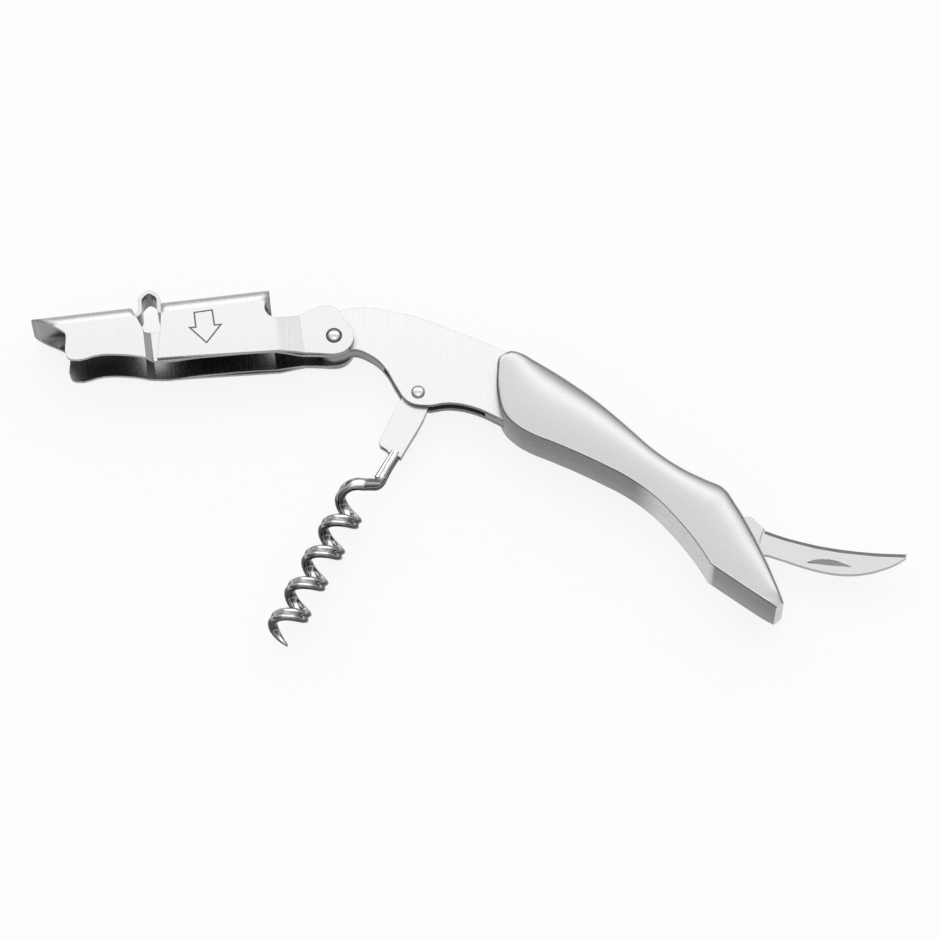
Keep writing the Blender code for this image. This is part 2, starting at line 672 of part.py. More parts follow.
def make_step_lever():
    """The outer lever: a cap lifter at the rivet's end, over the arms of the long lever."""
    back = -LEVER_DEPTH
    stations = [
        (-EAR_RADIUS - OVERRUN, STEP_EAR_HIGH),
        (STEP_NARROWING_SHARES[0] * LEVER_LENGTH, STEP_EAR_HIGH),
        (STEP_NARROWING_SHARES[1] * LEVER_LENGTH, LEVER_HALF),
        (LEVER_LENGTH, LEVER_HALF),
    ]
    open_side = lever_points(STEP_LEVER_SHARES)
    notch = lever_points(CAP_LIFTER_SHARES)
    outline = ([(open_side[0][0], back - OVERRUN, SHARP)] + open_side[1:]
               + arc_points(EAR_RADIUS, *STEP_EAR_ARC) + notch[:-1]
               + [(notch[-1][0], back - OVERRUN, SHARP)])
    obj = make_channel("step_lever", stations, back, outline, LEVER_PIVOT)
    return finish(obj, (0.7, 0.7, 0.69), 0.3, 1.0)


def make_step_spring():
    """The looped strip that lifts the step lever back off the long lever."""
    mesh = bpy.data.meshes.new("step_spring")
    work = bmesh.new()
    rows = []
    for x, y in smooth_route([(x * LEVER_LENGTH, y * LEVER_DEPTH) for x, y in SPRING_SHARES]):
        rows.append([work.verts.new((x, y, z)) for z in (-SPRING_WIDTH / 2, SPRING_WIDTH / 2)])
    for one, two in zip(rows, rows[1:]):
        work.faces.new((one[0], two[0], two[1], one[1]))
    work.to_mesh(mesh)
    work.free()
    obj = piece("step_spring", mesh, LEVER_PIVOT)
    solid = obj.modifiers.new("sheet", "SOLIDIFY")
    solid.thickness = SPRING_SHEET
    solid.offset = 0
    solid.use_even_offset = True
    return finish(obj, (0.7, 0.7, 0.68), 0.25, 1.0)


def smooth_route(points):
    """Points on a smooth curve through the given ones."""
    ends = [points[0]] + points + [points[-1]]
    route = []
    for a, b, c, d in zip(ends, ends[1:], ends[2:], ends[3:]):
        for i in range(ROUTE_STEPS):
            t = i / ROUTE_STEPS
            route.append(tuple(
                b[k] + t / 2 * (c[k] - a[k] + t * (2 * a[k] - 5 * b[k] + 4 * c[k] - d[k]
                                                   + t * (3 * (b[k] - c[k]) + d[k] - a[k])))
                for k in range(len(b))))
    route.append(points[-1])
    return route


def make_worm_tang():
    """The worm's tang: a sheet folded over along one side, with the wire's end between its leaves."""
    inner = TANG_THICKNESS / 2 - TANG_SHEET
    width = TANG_WIDTH
    outline = sized(TANG_SHARES, TANG_LENGTH, TANG_WIDTH)
    mesh = outline_mesh("worm_tang", outline, -TANG_THICKNESS / 2, TANG_THICKNESS / 2)
    obj = piece("worm_tang", mesh, WORM_PIVOT)
    fold_edge = outline[7][1] - TANG_SHEET
    gap_outline = [(-TANG_LENGTH, -width, SHARP), (TANG_LENGTH + OVERRUN, -width, SHARP),
                   (TANG_LENGTH + OVERRUN, fold_edge, SHARP), (-TANG_LENGTH, fold_edge, SHARP)]
    boolean(obj, piece("tang_gap", outline_mesh("tang_gap", gap_outline, -inner, inner),
                       WORM_PIVOT, cutter=True))
    boolean(obj, WORM_HOLE)
    return finish(obj, (0.66, 0.66, 0.65), 0.3, 1.0)


def helix_place(angle):
    """A place on the wire's middle line, the first half turn drawn up towards the tang."""
    rise = FIRST_TURN_RISE * math.sin(angle) if angle < math.pi else 0
    return (HELIX_START + HELIX_PITCH * angle / (2 * math.pi) - rise,
            HELIX_OFFSET + HELIX_RADIUS * math.cos(angle), HELIX_RADIUS * math.sin(angle))


def wire_route():
    """The wire's middle line with its angle about the helix: out of the tang, then the turns."""
    first = math.radians(LEAD_ANGLE)
    last = 2 * math.pi * HELIX_TURNS
    count = int(HELIX_TURNS * WIRE_STEPS)
    angles = [first + (last - first) * i / count for i in range(count + 1)]
    way = [(TANG_LENGTH + SEAT_GAP * 2, WIRE_OFFSET, 0)]
    way += [(x * HELIX_START, y * HELIX_RADIUS, z * HELIX_RADIUS) for x, y, z in LEAD_SHARES]
    lead = smooth_route(way + [helix_place(angle) for angle in angles[:2]])
    lead = lead[:-ROUTE_STEPS - 1]
    route = [(place, first * i / len(lead)) for i, place in enumerate(lead)]
    return route + [(helix_place(angle), angle) for angle in angles]


def wire_ring(place, forward, angle):
    """One section of the wire: an oval, with a groove on the side away from the helix's axis."""
    across = forward.cross(Vector((0, math.cos(angle), math.sin(angle)))).normalized()
    outward = across.cross(forward)
    oval = smooth_step(angle, 0, math.radians(OVAL_ANGLE))
    groove = GROOVE_DEPTH * smooth_step(angle, *(math.radians(turn) for turn in GROOVE_ANGLES))
    deep = LEAD_RADIUS + (WIRE_DEPTH / 2 - LEAD_RADIUS) * oval
    wide = LEAD_RADIUS + (WIRE_WIDTH / 2 - LEAD_RADIUS) * oval
    left = HELIX_TURNS - angle / (2 * math.pi)
    taper = math.sin(min(left / POINT_TURNS, 1) * math.pi / 2)
    scale = POINT_SHARE + (1 - POINT_SHARE) * taper
    ring = []
    for i in range(WIRE_SIDES):
        turn = 2 * math.pi * i / WIRE_SIDES
        reach = deep * math.cos(turn) - (groove if i == 0 else 0)
        ring.append(place + (outward * reach + across * (wide * math.sin(turn))) * scale)
    return ring


def make_worm_wire():
    """The worm: one tapered wire, wound right-handed, with a flattened end for the tang."""
    route = [(Vector(place), angle) for place, angle in wire_route()]
    work = bmesh.new()
    rings = []
    for i, (place, angle) in enumerate(route):
        before = route[max(i - 1, 0)][0]
        after = route[min(i + 1, len(route) - 1)][0]
        ring = wire_ring(place, (after - before).normalized(), angle)
        rings.append([work.verts.new(point) for point in ring])
    for one, two in zip(rings, rings[1:]):
        for i in range(WIRE_SIDES):
            work.faces.new((one[i - 1], one[i], two[i], two[i - 1]))
    work.faces.new(rings[0])
    work.faces.new(list(reversed(rings[-1])))
    bmesh.ops.recalc_face_normals(work, faces=work.faces)
    mesh = bpy.data.meshes.new("worm_wire")
    work.to_mesh(mesh)
    work.free()
    obj = piece("worm_wire", mesh, WORM_PIVOT)
    half = TANG_THICKNESS / 2 - TANG_SHEET - SEAT_GAP
    top = WIRE_OFFSET + LEAD_RADIUS * FLAT_WIDTH_SHARE
    bottom = WIRE_OFFSET - LEAD_RADIUS * FLAT_WIDTH_SHARE
    front = TANG_LENGTH * FLAT_START_SHARE
    rear = TANG_LENGTH + OVERRUN
    flat = [(front, bottom, SHARP), (rear, bottom, SHARP), (rear, top, SHARP), (front, top, SHARP)]
    boolean(obj, piece("wire_flat", outline_mesh("wire_flat", flat, -half, half),
                       WORM_PIVOT, cutter=True), "UNION")
    return finish(obj, (0.72, 0.72, 0.72), 0.12, 1.0, crease=50)


def make_knife():
    """The foil knife: a hooked blade ground along its hollow edge, with a nail nick."""
    outline = sized(KNIFE_SHARES, KNIFE_LENGTH, KNIFE_DEPTH)
    half = KNIFE_THICKNESS / 2
    obj = piece("knife_blade", outline_mesh("knife_blade", outline, -half, half), KNIFE_PIVOT)
    boolean(obj, PIN_HOLES["knife"])
    for side in (1, -1):
        boolean(obj, edge_grind("edge_grind_" + ("near" if side > 0 else "far"), side))
    boolean(obj, nail_nick())
    return finish(obj, (0.6, 0.6, 0.6), 0.3, 1.0)


def edge_grind(name, side):
    """A tilted cutter that grinds one face of the blade down to its edge."""
    edge = sized(KNIFE_SHARES[2:8], KNIFE_LENGTH, KNIFE_DEPTH)
    half = KNIFE_THICKNESS / 2
    thin = half * EDGE_THIN_SHARE
    work = bmesh.new()
    rows = []
    for x, y, kind in edge:
        corners = [(y - KNIFE_BEVEL, half), (y, thin), (y + OVERRUN, thin),
                   (y + OVERRUN, half + OVERRUN), (y - KNIFE_BEVEL, half + OVERRUN)]
        rows.append([work.verts.new((x, cy, side * cz)) for cy, cz in corners])
    for one, two in zip(rows, rows[1:]):
        for i in range(len(one)):
            j = (i + 1) % len(one)
            work.faces.new((one[i], two[i], two[j], one[j]))
    work.faces.new(rows[0])
    work.faces.new(list(reversed(rows[-1])))
    bmesh.ops.recalc_face_normals(work, faces=work.faces)
    mesh = bpy.data.meshes.new(name)
    work.to_mesh(mesh)
    work.free()
    return piece(name, mesh, KNIFE_PIVOT, cutter=True)


def nail_nick():
    """The crescent pressed into the blade's near face for a fingernail."""
    x = NICK_SHARES[0] * KNIFE_LENGTH
    y = NICK_SHARES[1] * KNIFE_DEPTH
    half = NICK_LENGTH / 2
    outline = [(x - half, y, SHARP), (x, y + NICK_DEPTH, SOFT), (x + half, y, SHARP)]
    floor = KNIFE_THICKNESS * NICK_FLOOR_SHARE
    return piece("nail_nick", outline_mesh("nail_nick", outline, floor, KNIFE_THICKNESS),
                 KNIFE_PIVOT, cutter=True)


def make_washer(name, side):
    """A thin washer that centres the blade in the slot."""
    middle = side * (KNIFE_THICKNESS / 2 + SEAT_GAP + WASHER_THICKNESS / 2)
    half = WASHER_THICKNESS / 2
    inner = PIN_RADIUS + BORE_GAP
    profile = [(inner, middle + half), (WASHER_RADIUS, middle + half),
               (WASHER_RADIUS, middle - half), (inner, middle - half)]
    obj = turned(name, profile, KNIFE_PLACE, ROOT, ring=True)
    return finish(obj, (0.55, 0.5, 0.4), 0.4, 1.0)


def make_rivets():
    """The two rivets that show, and the pins hidden under the scales."""
    steel = ((0.66, 0.66, 0.66), 0.25, 1.0)
    finish(rivet("lever_rivet", LEVER_RIVET_RADIUS, LEVER_HEAD_RADIUS, STEP_EAR_HIGH,
                 (0, 0, 0), ROOT), *steel)
    finish(rivet("worm_rivet", WORM_RIVET_RADIUS, WORM_HEAD_RADIUS, LINER_HIGH,
                 WORM_PLACE, ROOT), *steel)
    reach = SCALE_LOW + PIN_REACH - SEAT_GAP
    for name, place in (("knife_pin", KNIFE_PLACE), ("handle_pin_front", FRONT_PLACE),
                        ("handle_pin_middle", MIDDLE_PLACE), ("handle_pin_rear", REAR_PLACE)):
        finish(pin(name, PIN_RADIUS, reach, place, ROOT), *steel)


def stand_on_origin():
    """Shifts the whole so that the origin lies under the middle of its box."""
    bpy.context.view_layer.update()
    graph = bpy.context.evaluated_depsgraph_get()
    corners = []
    for obj in PARTS.objects:
        if obj.type == "MESH":
            shape = obj.evaluated_get(graph)
            corners += [shape.matrix_world @ vertex.co for vertex in shape.data.vertices]
    low = Vector([min(c[k] for c in corners) for k in range(3)])
    high = Vector([max(c[k] for c in corners) for k in range(3)])
    ROOT.location = (-(low.x + high.x) / 2, -(low.y + high.y) / 2, -low.z)
    bpy.context.view_layer.update()


make_liner("near_liner", 1)
make_liner("far_liner", -1)
make_nose_spacer()
make_handle_spacer()
make_far_scale(make_near_scale())
make_long_lever()
make_step_lever()
make_step_spring()
make_worm_tang()
make_worm_wire()
make_knife()
make_washer("knife_washer_near", 1)
make_washer("knife_washer_far", -1)
make_rivets()
stand_on_origin()
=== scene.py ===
# %% [markdown]
# # A waiter's corkscrew, dressed for its photograph
#
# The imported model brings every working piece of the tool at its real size, with its hinges. What
# is left for this script is what the eye judges: how each steel part was finished, the fine wire
# of the worm, and the soft light of a product photograph. The cells below can be read in order,
# as a lesson. Each one says what the real thing is before it makes it.

# %% The frame
import math

import bpy
import bmesh
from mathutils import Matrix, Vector, geometry


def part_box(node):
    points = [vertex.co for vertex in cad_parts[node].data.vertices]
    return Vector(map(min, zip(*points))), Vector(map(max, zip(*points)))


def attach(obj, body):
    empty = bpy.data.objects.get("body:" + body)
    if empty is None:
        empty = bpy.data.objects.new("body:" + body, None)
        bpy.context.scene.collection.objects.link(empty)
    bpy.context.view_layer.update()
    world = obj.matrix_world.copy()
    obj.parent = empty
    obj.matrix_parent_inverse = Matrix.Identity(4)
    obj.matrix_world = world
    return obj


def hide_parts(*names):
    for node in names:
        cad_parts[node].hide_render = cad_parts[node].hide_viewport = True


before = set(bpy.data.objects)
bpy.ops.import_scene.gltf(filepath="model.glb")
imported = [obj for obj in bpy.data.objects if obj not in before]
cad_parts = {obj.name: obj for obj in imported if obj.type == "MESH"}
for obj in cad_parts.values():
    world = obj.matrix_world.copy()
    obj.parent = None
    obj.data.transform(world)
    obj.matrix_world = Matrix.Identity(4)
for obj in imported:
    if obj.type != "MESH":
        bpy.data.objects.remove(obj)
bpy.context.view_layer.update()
MM = 0.001

# %% [markdown]
# ## Places on the tool
#
# The lever's rivet and the worm's rivet are the two points that everything else is measured from,
# as a toolmaker would do. Their middles are read from the frame, so nothing here has to be fitted
# by hand. Sizes are written in millimetres, and `spot` turns a place along a hinged piece into a
# place in the scene.

# %% The two rivets
def middle(node):
    """The middle of a CAD node's box."""
    low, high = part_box(node)
    return (Vector(low) + Vector(high)) / 2


LEVER_PIVOT = middle("lever_rivet")
WORM_PIVOT = middle("worm_rivet")
LEVER_ANGLE = math.radians(220.4)
WORM_ANGLE = math.radians(-83.0)


def spot(origin, angle, x, y, z):
    """A place in the scene from millimetres along, across and above a hinged piece."""
    turned = Vector((x * math.cos(angle) - y * math.sin(angle),
                     x * math.sin(angle) + y * math.cos(angle), z))
    return origin + turned * MM


print("lever rivet", LEVER_PIVOT, "worm rivet", WORM_PIVOT)

# %% [markdown]
# ## The camera
#
# The photograph is taken from high above, 67 degrees over the table, and from a little to one
# side, so that the near faces and a strip of the lower walls both show. A long lens from a metre
# away keeps the tool almost free of perspective, which is how small goods are usually shot.

# %% Camera
AIM = LEVER_PIVOT + Vector((40.9, -6.8, -7.3)) * MM
DISTANCE = 1000 * MM
AZIMUTH = math.radians(33)
ELEVATION = math.radians(67)
LENS_MM = 169.84

camera_data = bpy.data.cameras.new("product_camera")
camera_data.sensor_width = 36
camera_data.lens = LENS_MM
camera_data.clip_start = 0.01
camera_data.clip_end = 100
camera = bpy.data.objects.new("product_camera", camera_data)
bpy.context.scene.collection.objects.link(camera)
towards = Vector((math.sin(AZIMUTH) * math.cos(ELEVATION),
                  -math.cos(AZIMUTH) * math.cos(ELEVATION), math.sin(ELEVATION)))
camera.location = AIM + towards * DISTANCE
camera.rotation_euler = (math.pi / 2 - ELEVATION, 0, AZIMUTH)
bpy.context.scene.camera = camera
print("camera at", camera.location)

# %% [markdown]
# ## Colour and nodes
#
# Colours are written as the hex values that a painter would pick on a screen. A render works in
# linear light, so one function converts them. A second small function adds a node, sets its
# sockets and plugs in its links, and every material below is built with these two.

# %% Colour and node helpers
def linear(code):
    """A linear colour from an sRGB hex value."""
    parts = [int(code[i:i + 2], 16) / 255 for i in (1, 3, 5)]
    return (*(v / 12.92 if v <= 0.04045 else ((v + 0.055) / 1.055) ** 2.4 for v in parts), 1)


def add(tree, kind, sockets=None, **settings):
    """Adds a node, with values or links for its sockets by name or number."""
    node = tree.nodes.new(kind)
    for name, value in settings.items():
        setattr(node, name, value)
    for key, value in (sockets or {}).items():
        if isinstance(value, bpy.types.NodeSocket):
            tree.links.new(value, node.inputs[key])
        else:
            node.inputs[key].default_value = value
    return node


print("steel grey in linear light", linear("#C8C8C6"))

# %% [markdown]
# Turned pieces, wires and shells are all made in the same way: rings of places, joined into one
# closed skin. One function does it, and also says which edges stay crisp.

# %% Loft
SHARP_DEGREES = 50
MERGE_DISTANCE = 0.0005 * MM


def lofted(name, rings, place, sharp=SHARP_DEGREES):
    """A closed skin through rings of places, each put into the scene by the place function."""
    mesh = bpy.data.meshes.new(name)
    work = bmesh.new()
    rows = [[work.verts.new(place(*point)) for point in ring] for ring in rings]
    for one, two in zip(rows, rows[1:]):
        for i in range(len(one)):
            work.faces.new((one[i - 1], one[i], two[i], two[i - 1]))
    work.faces.new(rows[0])
    work.faces.new(list(reversed(rows[-1])))
    bmesh.ops.remove_doubles(work, verts=work.verts, dist=MERGE_DISTANCE)
    bmesh.ops.recalc_face_normals(work, faces=work.faces)
    work.to_mesh(mesh)
    work.free()
    mesh.shade_smooth()
    mesh.set_sharp_from_angle(angle=math.radians(sharp))
    made = bpy.data.objects.new(name, mesh)
    bpy.context.scene.collection.objects.link(made)
    return made


print("loft ready")

# %% [markdown]
# Etched and engraved lines are ribbons: thin strips that follow a line on a flat face, a hair
# above it.

# %% Ribbon
RIBBON_LIFT = 0.003
MITRE_LIMIT = 0.3


def ribbon(name, places, width, closed, place):
    """A flat strip along a line of (x, y) places."""
    mesh = bpy.data.meshes.new(name)
    work = bmesh.new()
    count = len(places)
    rows = []
    for i in range(count):
        b = Vector(places[i])
        a = Vector(places[i - 1]) if closed or i else b * 2 - Vector(places[1])
        c = Vector(places[(i + 1) % count]) if closed or i < count - 1 else b * 2 - a
        one, two = (b - a).normalized(), (c - b).normalized()
        normal = Vector((one.y + two.y, -one.x - two.x)).normalized()
        reach = width / 2 / max(normal.dot(Vector((one.y, -one.x))), MITRE_LIMIT)
        rows.append([work.verts.new(place(*(b + normal * reach * sign))) for sign in (-1, 1)])
    for i in range(0 if closed else 1, count):
        work.faces.new((rows[i - 1][0], rows[i - 1][1], rows[i][1], rows[i][0]))
    for face in work.faces:
        face.normal_update()
        if face.normal.z < 0:
            face.normal_flip()
    work.to_mesh(mesh)
    work.free()
    made = bpy.data.objects.new(name, mesh)
    bpy.context.scene.collection.objects.link(made)
    return made


print("ribbons lie", RIBBON_LIFT, "mm above a face")

# %% [markdown]
# ## The studio
#
# The tool lies on a white sweep. The room round it is a light tent: bright overhead and behind,
# because that is where the big diffusers hang, and dark on the photographer's side, because
# nobody puts a lamp behind the camera. Polished metal has no look of its own. It shows this room,
# so the bright and dark sides of the tent draw every highlight and dark line on the tool.

# %% White floor
FLOOR_SIZE = 60
FLOOR_DROP = 0.05 * MM
GLOW_SHARE = 0.85

floor_mesh = bpy.data.meshes.new("white_sweep")
work = bmesh.new()
bmesh.ops.create_grid(work, x_segments=1, y_segments=1, size=FLOOR_SIZE / 2)
work.to_mesh(floor_mesh)
work.free()
floor = bpy.data.objects.new("white_sweep", floor_mesh)
floor.location.z = -FLOOR_DROP
bpy.context.scene.collection.objects.link(floor)

paper = bpy.data.materials.new("white_paper_sweep")
paper.use_nodes = True
tree = paper.node_tree
shader = tree.nodes["Principled BSDF"]
shader.inputs["Base Color"].default_value = linear("#FCFCFC")
shader.inputs["Roughness"].default_value = 1.0
shader.inputs["Specular IOR Level"].default_value = 0.0
glow = add(tree, "ShaderNodeEmission", {"Color": linear("#FFFFFF"), "Strength": 1.0})
path = add(tree, "ShaderNodeLightPath")
seen = add(tree, "ShaderNodeMath", {0: path.outputs["Is Camera Ray"],
                                    1: path.outputs["Is Glossy Ray"]}, operation="ADD")
seen = add(tree, "ShaderNodeMath", {0: seen.outputs[0],
                                    1: path.outputs["Is Transmission Ray"]}, operation="ADD")
share = add(tree, "ShaderNodeMath", {0: seen.outputs[0], 1: GLOW_SHARE}, operation="MULTIPLY")
blend = add(tree, "ShaderNodeMixShader", {0: share.outputs[0], 1: shader.outputs[0],
                                          2: glow.outputs[0]})
tree.links.new(blend.outputs[0], tree.nodes["Material Output"].inputs["Surface"])
floor_mesh.materials.append(paper)
print("floor", FLOOR_SIZE, "m wide")

# %% [markdown]
# The tent itself is drawn as levels of light by angle, from the near side (positive angles) over
# the top (zero) to the far side. The wings at left and right are darker, as in a real tent with
# open ends.

# %% Light tent
TENT_STOPS = [
    (-180, 0.35), (-95, 0.30), (-78, 0.34), (-63, 0.60), (-51, 1.15), (-43, 2.10), (-37, 2.70),
    (-31, 2.30), (-25, 1.38), (-19, 1.05), (-12, 1.40), (2, 1.50), (14, 1.20), (28, 0.70), (42, 0.36),
    (88, 0.28), (180, 0.35),
]
TENT_PEAK = 2.7
WING_START = 0.38
WING_END = 0.72
WING_SHARE = 0.3

world = bpy.data.worlds.new("light_tent")
bpy.context.scene.world = world
world.use_nodes = True
tree = world.node_tree
tree.nodes.clear()
heading = add(tree, "ShaderNodeTexCoord")
nearer = Vector((math.sin(AZIMUTH), -math.cos(AZIMUTH), 0))
rightward = Vector((math.cos(AZIMUTH), math.sin(AZIMUTH), 0))
across = add(tree, "ShaderNodeVectorMath", {0: heading.outputs["Generated"], 1: nearer},
             operation="DOT_PRODUCT")
split = add(tree, "ShaderNodeSeparateXYZ", {0: heading.outputs["Generated"]})
angle = add(tree, "ShaderNodeMath", {0: across.outputs["Value"], 1: split.outputs["Z"]},
            operation="ARCTAN2")
turn = add(tree, "ShaderNodeMapRange", {"Value": angle.outputs[0], "From Min": -math.pi,
                                        "From Max": math.pi})
ramp = add(tree, "ShaderNodeValToRGB", {0: turn.outputs[0]})
stops = ramp.color_ramp.elements
for degrees, level in TENT_STOPS[1:-1]:
    stops.new((degrees + 180) / 360)
for stop, (degrees, level) in zip(stops, TENT_STOPS):
    stop.position = (degrees + 180) / 360
    stop.color = (*[level / TENT_PEAK] * 3, 1)
aside = add(tree, "ShaderNodeVectorMath", {0: heading.outputs["Generated"], 1: rightward},
            operation="DOT_PRODUCT")
aside = add(tree, "ShaderNodeMath", {0: aside.outputs["Value"]}, operation="ABSOLUTE")
wings = add(tree, "ShaderNodeMapRange", {"Value": aside.outputs[0], "From Min": WING_START,
                                         "From Max": WING_END, "To Min": TENT_PEAK,
                                         "To Max": TENT_PEAK * WING_SHARE},
            interpolation_type="SMOOTHSTEP")
level = add(tree, "ShaderNodeMix", {0: 1.0, 6: ramp.outputs[0], 7: wings.outputs[0]},
            data_type="RGBA", blend_type="MULTIPLY", clamp_result=False)
sky = add(tree, "ShaderNodeBackground", {"Color": level.outputs[2], "Strength": 1.0})
add(tree, "ShaderNodeOutputWorld", {"Surface": sky.outputs[0]})
print("tent stops", len(stops))

# %% [markdown]
# One soft box hangs inside the tent, straight overhead. It draws the crisp white spots on the
# rivets' domes and on the wire.

# %% Soft box
BOX_DISTANCE = 1500 * MM
BOX_SIZE = 300 * MM
BOX_LEVEL = 3.0

box_data = bpy.data.lights.new("top_box", "AREA")
box_data.shape = "SQUARE"
box_data.size = BOX_SIZE
box_data.energy = BOX_LEVEL * math.pi * BOX_SIZE ** 2
top_box = bpy.data.objects.new("top_box", box_data)
top_box.location = AIM + Vector((0, 0, BOX_DISTANCE))
bpy.context.scene.collection.objects.link(top_box)
print("soft box", BOX_SIZE, "m wide")

# %% [markdown]
# ## Steel, and how it was finished
#
# Nearly all of the tool is stainless steel, and the parts differ only in what was done to their
# surface. No cut edge is truly sharp: tumbling breaks it by a tenth of a millimetre, and that tiny
# round draws the thin bright and dark lines along a sheet's rim. The Bevel node bends the normals
# there in the same way, a little wider, so that the line can be seen.
#
# A belt leaves fine parallel scratches, which spread a highlight across them. Blasting
# leaves an even satin. A buffing wheel leaves a mirror. So one function makes a brushed metal
# from its colour, its roughness, and the width, length and direction of its scratches.

# %% Brushed metal
NOISE_RANGE = {"From Min": 0.3, "From Max": 0.7}
SCRATCH_ROUGHNESS = 0.6
ROUGHNESS_DRIFT = 0.06
SCRATCH_BUMP = 0.2
BEVEL_SAMPLES = 6
EDGE_BREAK = 0.16 * MM


def metal(name, code, roughness):
    """A metal with its Principled shader, ready for its finish."""
    made = bpy.data.materials.new(name)
    made.use_nodes = True
    shader = made.node_tree.nodes["Principled BSDF"]
    shader.inputs["Metallic"].default_value = 1.0
    shader.inputs["Base Color"].default_value = linear(code)
    shader.inputs["Roughness"].default_value = roughness
    return made, made.node_tree, shader


def scratches(tree, width, length, heading, detail=3):
    """Noise drawn out into fine lines: their width and length in millimetres, and their heading."""
    place = add(tree, "ShaderNodeTexCoord")
    turned = add(tree, "ShaderNodeMapping", {"Vector": place.outputs["Object"],
                                             "Rotation": (0, 0, -heading)})
    scaled = add(tree, "ShaderNodeMapping", {
        "Vector": turned.outputs[0],
        "Scale": (1 / (length * MM), 1 / (width * MM), 1 / (width * MM))})
    return add(tree, "ShaderNodeTexNoise", {"Vector": scaled.outputs[0], "Scale": 1.0,
                                            "Detail": detail,
                                            "Roughness": SCRATCH_ROUGHNESS})


def faces_out(tree, low, high):
    """1 on faces square to the hinges' axis, 0 on edges, changing between two slopes."""
    place = add(tree, "ShaderNodeTexCoord")
    parts = add(tree, "ShaderNodeSeparateXYZ", {0: place.outputs["Normal"]})
    slope = add(tree, "ShaderNodeMath", {0: parts.outputs["Z"]}, operation="ABSOLUTE")
    return add(tree, "ShaderNodeMapRange", {"Value": slope.outputs[0], "From Min": low,
                                            "From Max": high}, interpolation_type="SMOOTHSTEP")


def brushed(name, bright, dull, edge, roughness, width, length, heading, relief,
            slopes=(0.25, 0.75)):
    """Belt-brushed sheet: streaks between two greys, an edge grey on steep faces that is partly a
    duller cut finish and partly painted shade, and a fine relief.
    """
    made, tree, shader = metal(name, bright, roughness)
    lines = scratches(tree, width, length, heading)
    streak = add(tree, "ShaderNodeMapRange", {**NOISE_RANGE, "Value": lines.outputs[0],
                                              "To Min": 0, "To Max": 1})
    tone = add(tree, "ShaderNodeMix", {"Factor": streak.outputs[0], 6: linear(dull),
                                       7: linear(bright)}, data_type="RGBA")
    # The edge grey on steep faces is partly a duller cut finish and partly painted shade on rims and
    # walls.
    face = faces_out(tree, *slopes)
    colour = add(tree, "ShaderNodeMix", {"Factor": face.outputs[0], 6: linear(edge),
                                         7: tone.outputs[2]}, data_type="RGBA")
    tree.links.new(colour.outputs[2], shader.inputs["Base Color"])
    rough = add(tree, "ShaderNodeMapRange", {**NOISE_RANGE, "Value": lines.outputs[0],
                                             "To Min": roughness + ROUGHNESS_DRIFT,
                                             "To Max": roughness - ROUGHNESS_DRIFT})
    tree.links.new(rough.outputs[0], shader.inputs["Roughness"])
    broken = add(tree, "ShaderNodeBevel", {"Radius": EDGE_BREAK}, samples=BEVEL_SAMPLES)
    bump = add(tree, "ShaderNodeBump", {"Height": lines.outputs[0], "Strength": SCRATCH_BUMP,
                                        "Distance": relief * MM, "Normal": broken.outputs[0]})
    tree.links.new(bump.outputs[0], shader.inputs["Normal"])
    return made


def dress(material, *nodes):
    """Gives CAD nodes a material."""
    for node in nodes:
        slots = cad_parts[node].material_slots
        for slot in slots:
            slot.material = material
    print(material.name, "on", ", ".join(nodes))

# %% [markdown]
# ## The liners
#
# The frame's two side plates are cut from stainless sheet and brushed across their length. The
# real scratches are a few hundredths of a millimetre wide, too fine to show here, so they are
# drawn 0.12 mm wide.

# %% Liners
LINER_HEADING = math.radians(123)
# The dark edge grey is painted shade on the plates' rims, as well as their duller cut finish.
liner_steel = brushed("brushed_stainless_sheet", "#CCCCCC", "#C5C5C5", "#6E6E6C", 0.30,
                      width=0.12, length=6, heading=LINER_HEADING, relief=0.003)
dress(liner_steel, "near_liner", "far_liner")

# %% [markdown]
# ## The levers
#
# The levers are pressed from spring steel sheet. They are brushed before bending, straight across
# the strip, so the scratches run from the back to the open side. Inside the channel nobody
# polishes, and light that gets in bounces from wall to wall and dies; the darker grey on those
# walls is painted shade. A mask finds those inner walls: they are the ones that look towards the
# middle of the channel.

# %% Levers
LEVER_BACK = LEVER_ANGLE - math.pi / 2
INNER_PAINTED_SHADE = "#8E8E8C"
FLANGE_HALF = 5.6
FLANGE_BLUR = 0.1
INNER_START = -0.2
INNER_END = -0.5
BEND_START = 9.4
BEND_END = 9.9
BEND_RADIUS = 1.9

# The edge grey is painted shade on the sheet's rims, as well as their duller cut finish.
lever_steel = brushed("brushed_spring_steel", "#C9C9C9", "#C2C2C2", "#9C9C9A", 0.26,
                      width=0.14, length=7, heading=LEVER_ANGLE + math.pi / 2, relief=0.003)
print("lever steel", lever_steel.name)

# %% [markdown]
# The mask of the inner walls multiplies two signs: which side of the middle plane a place lies on,
# and which way its face looks. Where they disagree, the face looks inwards.

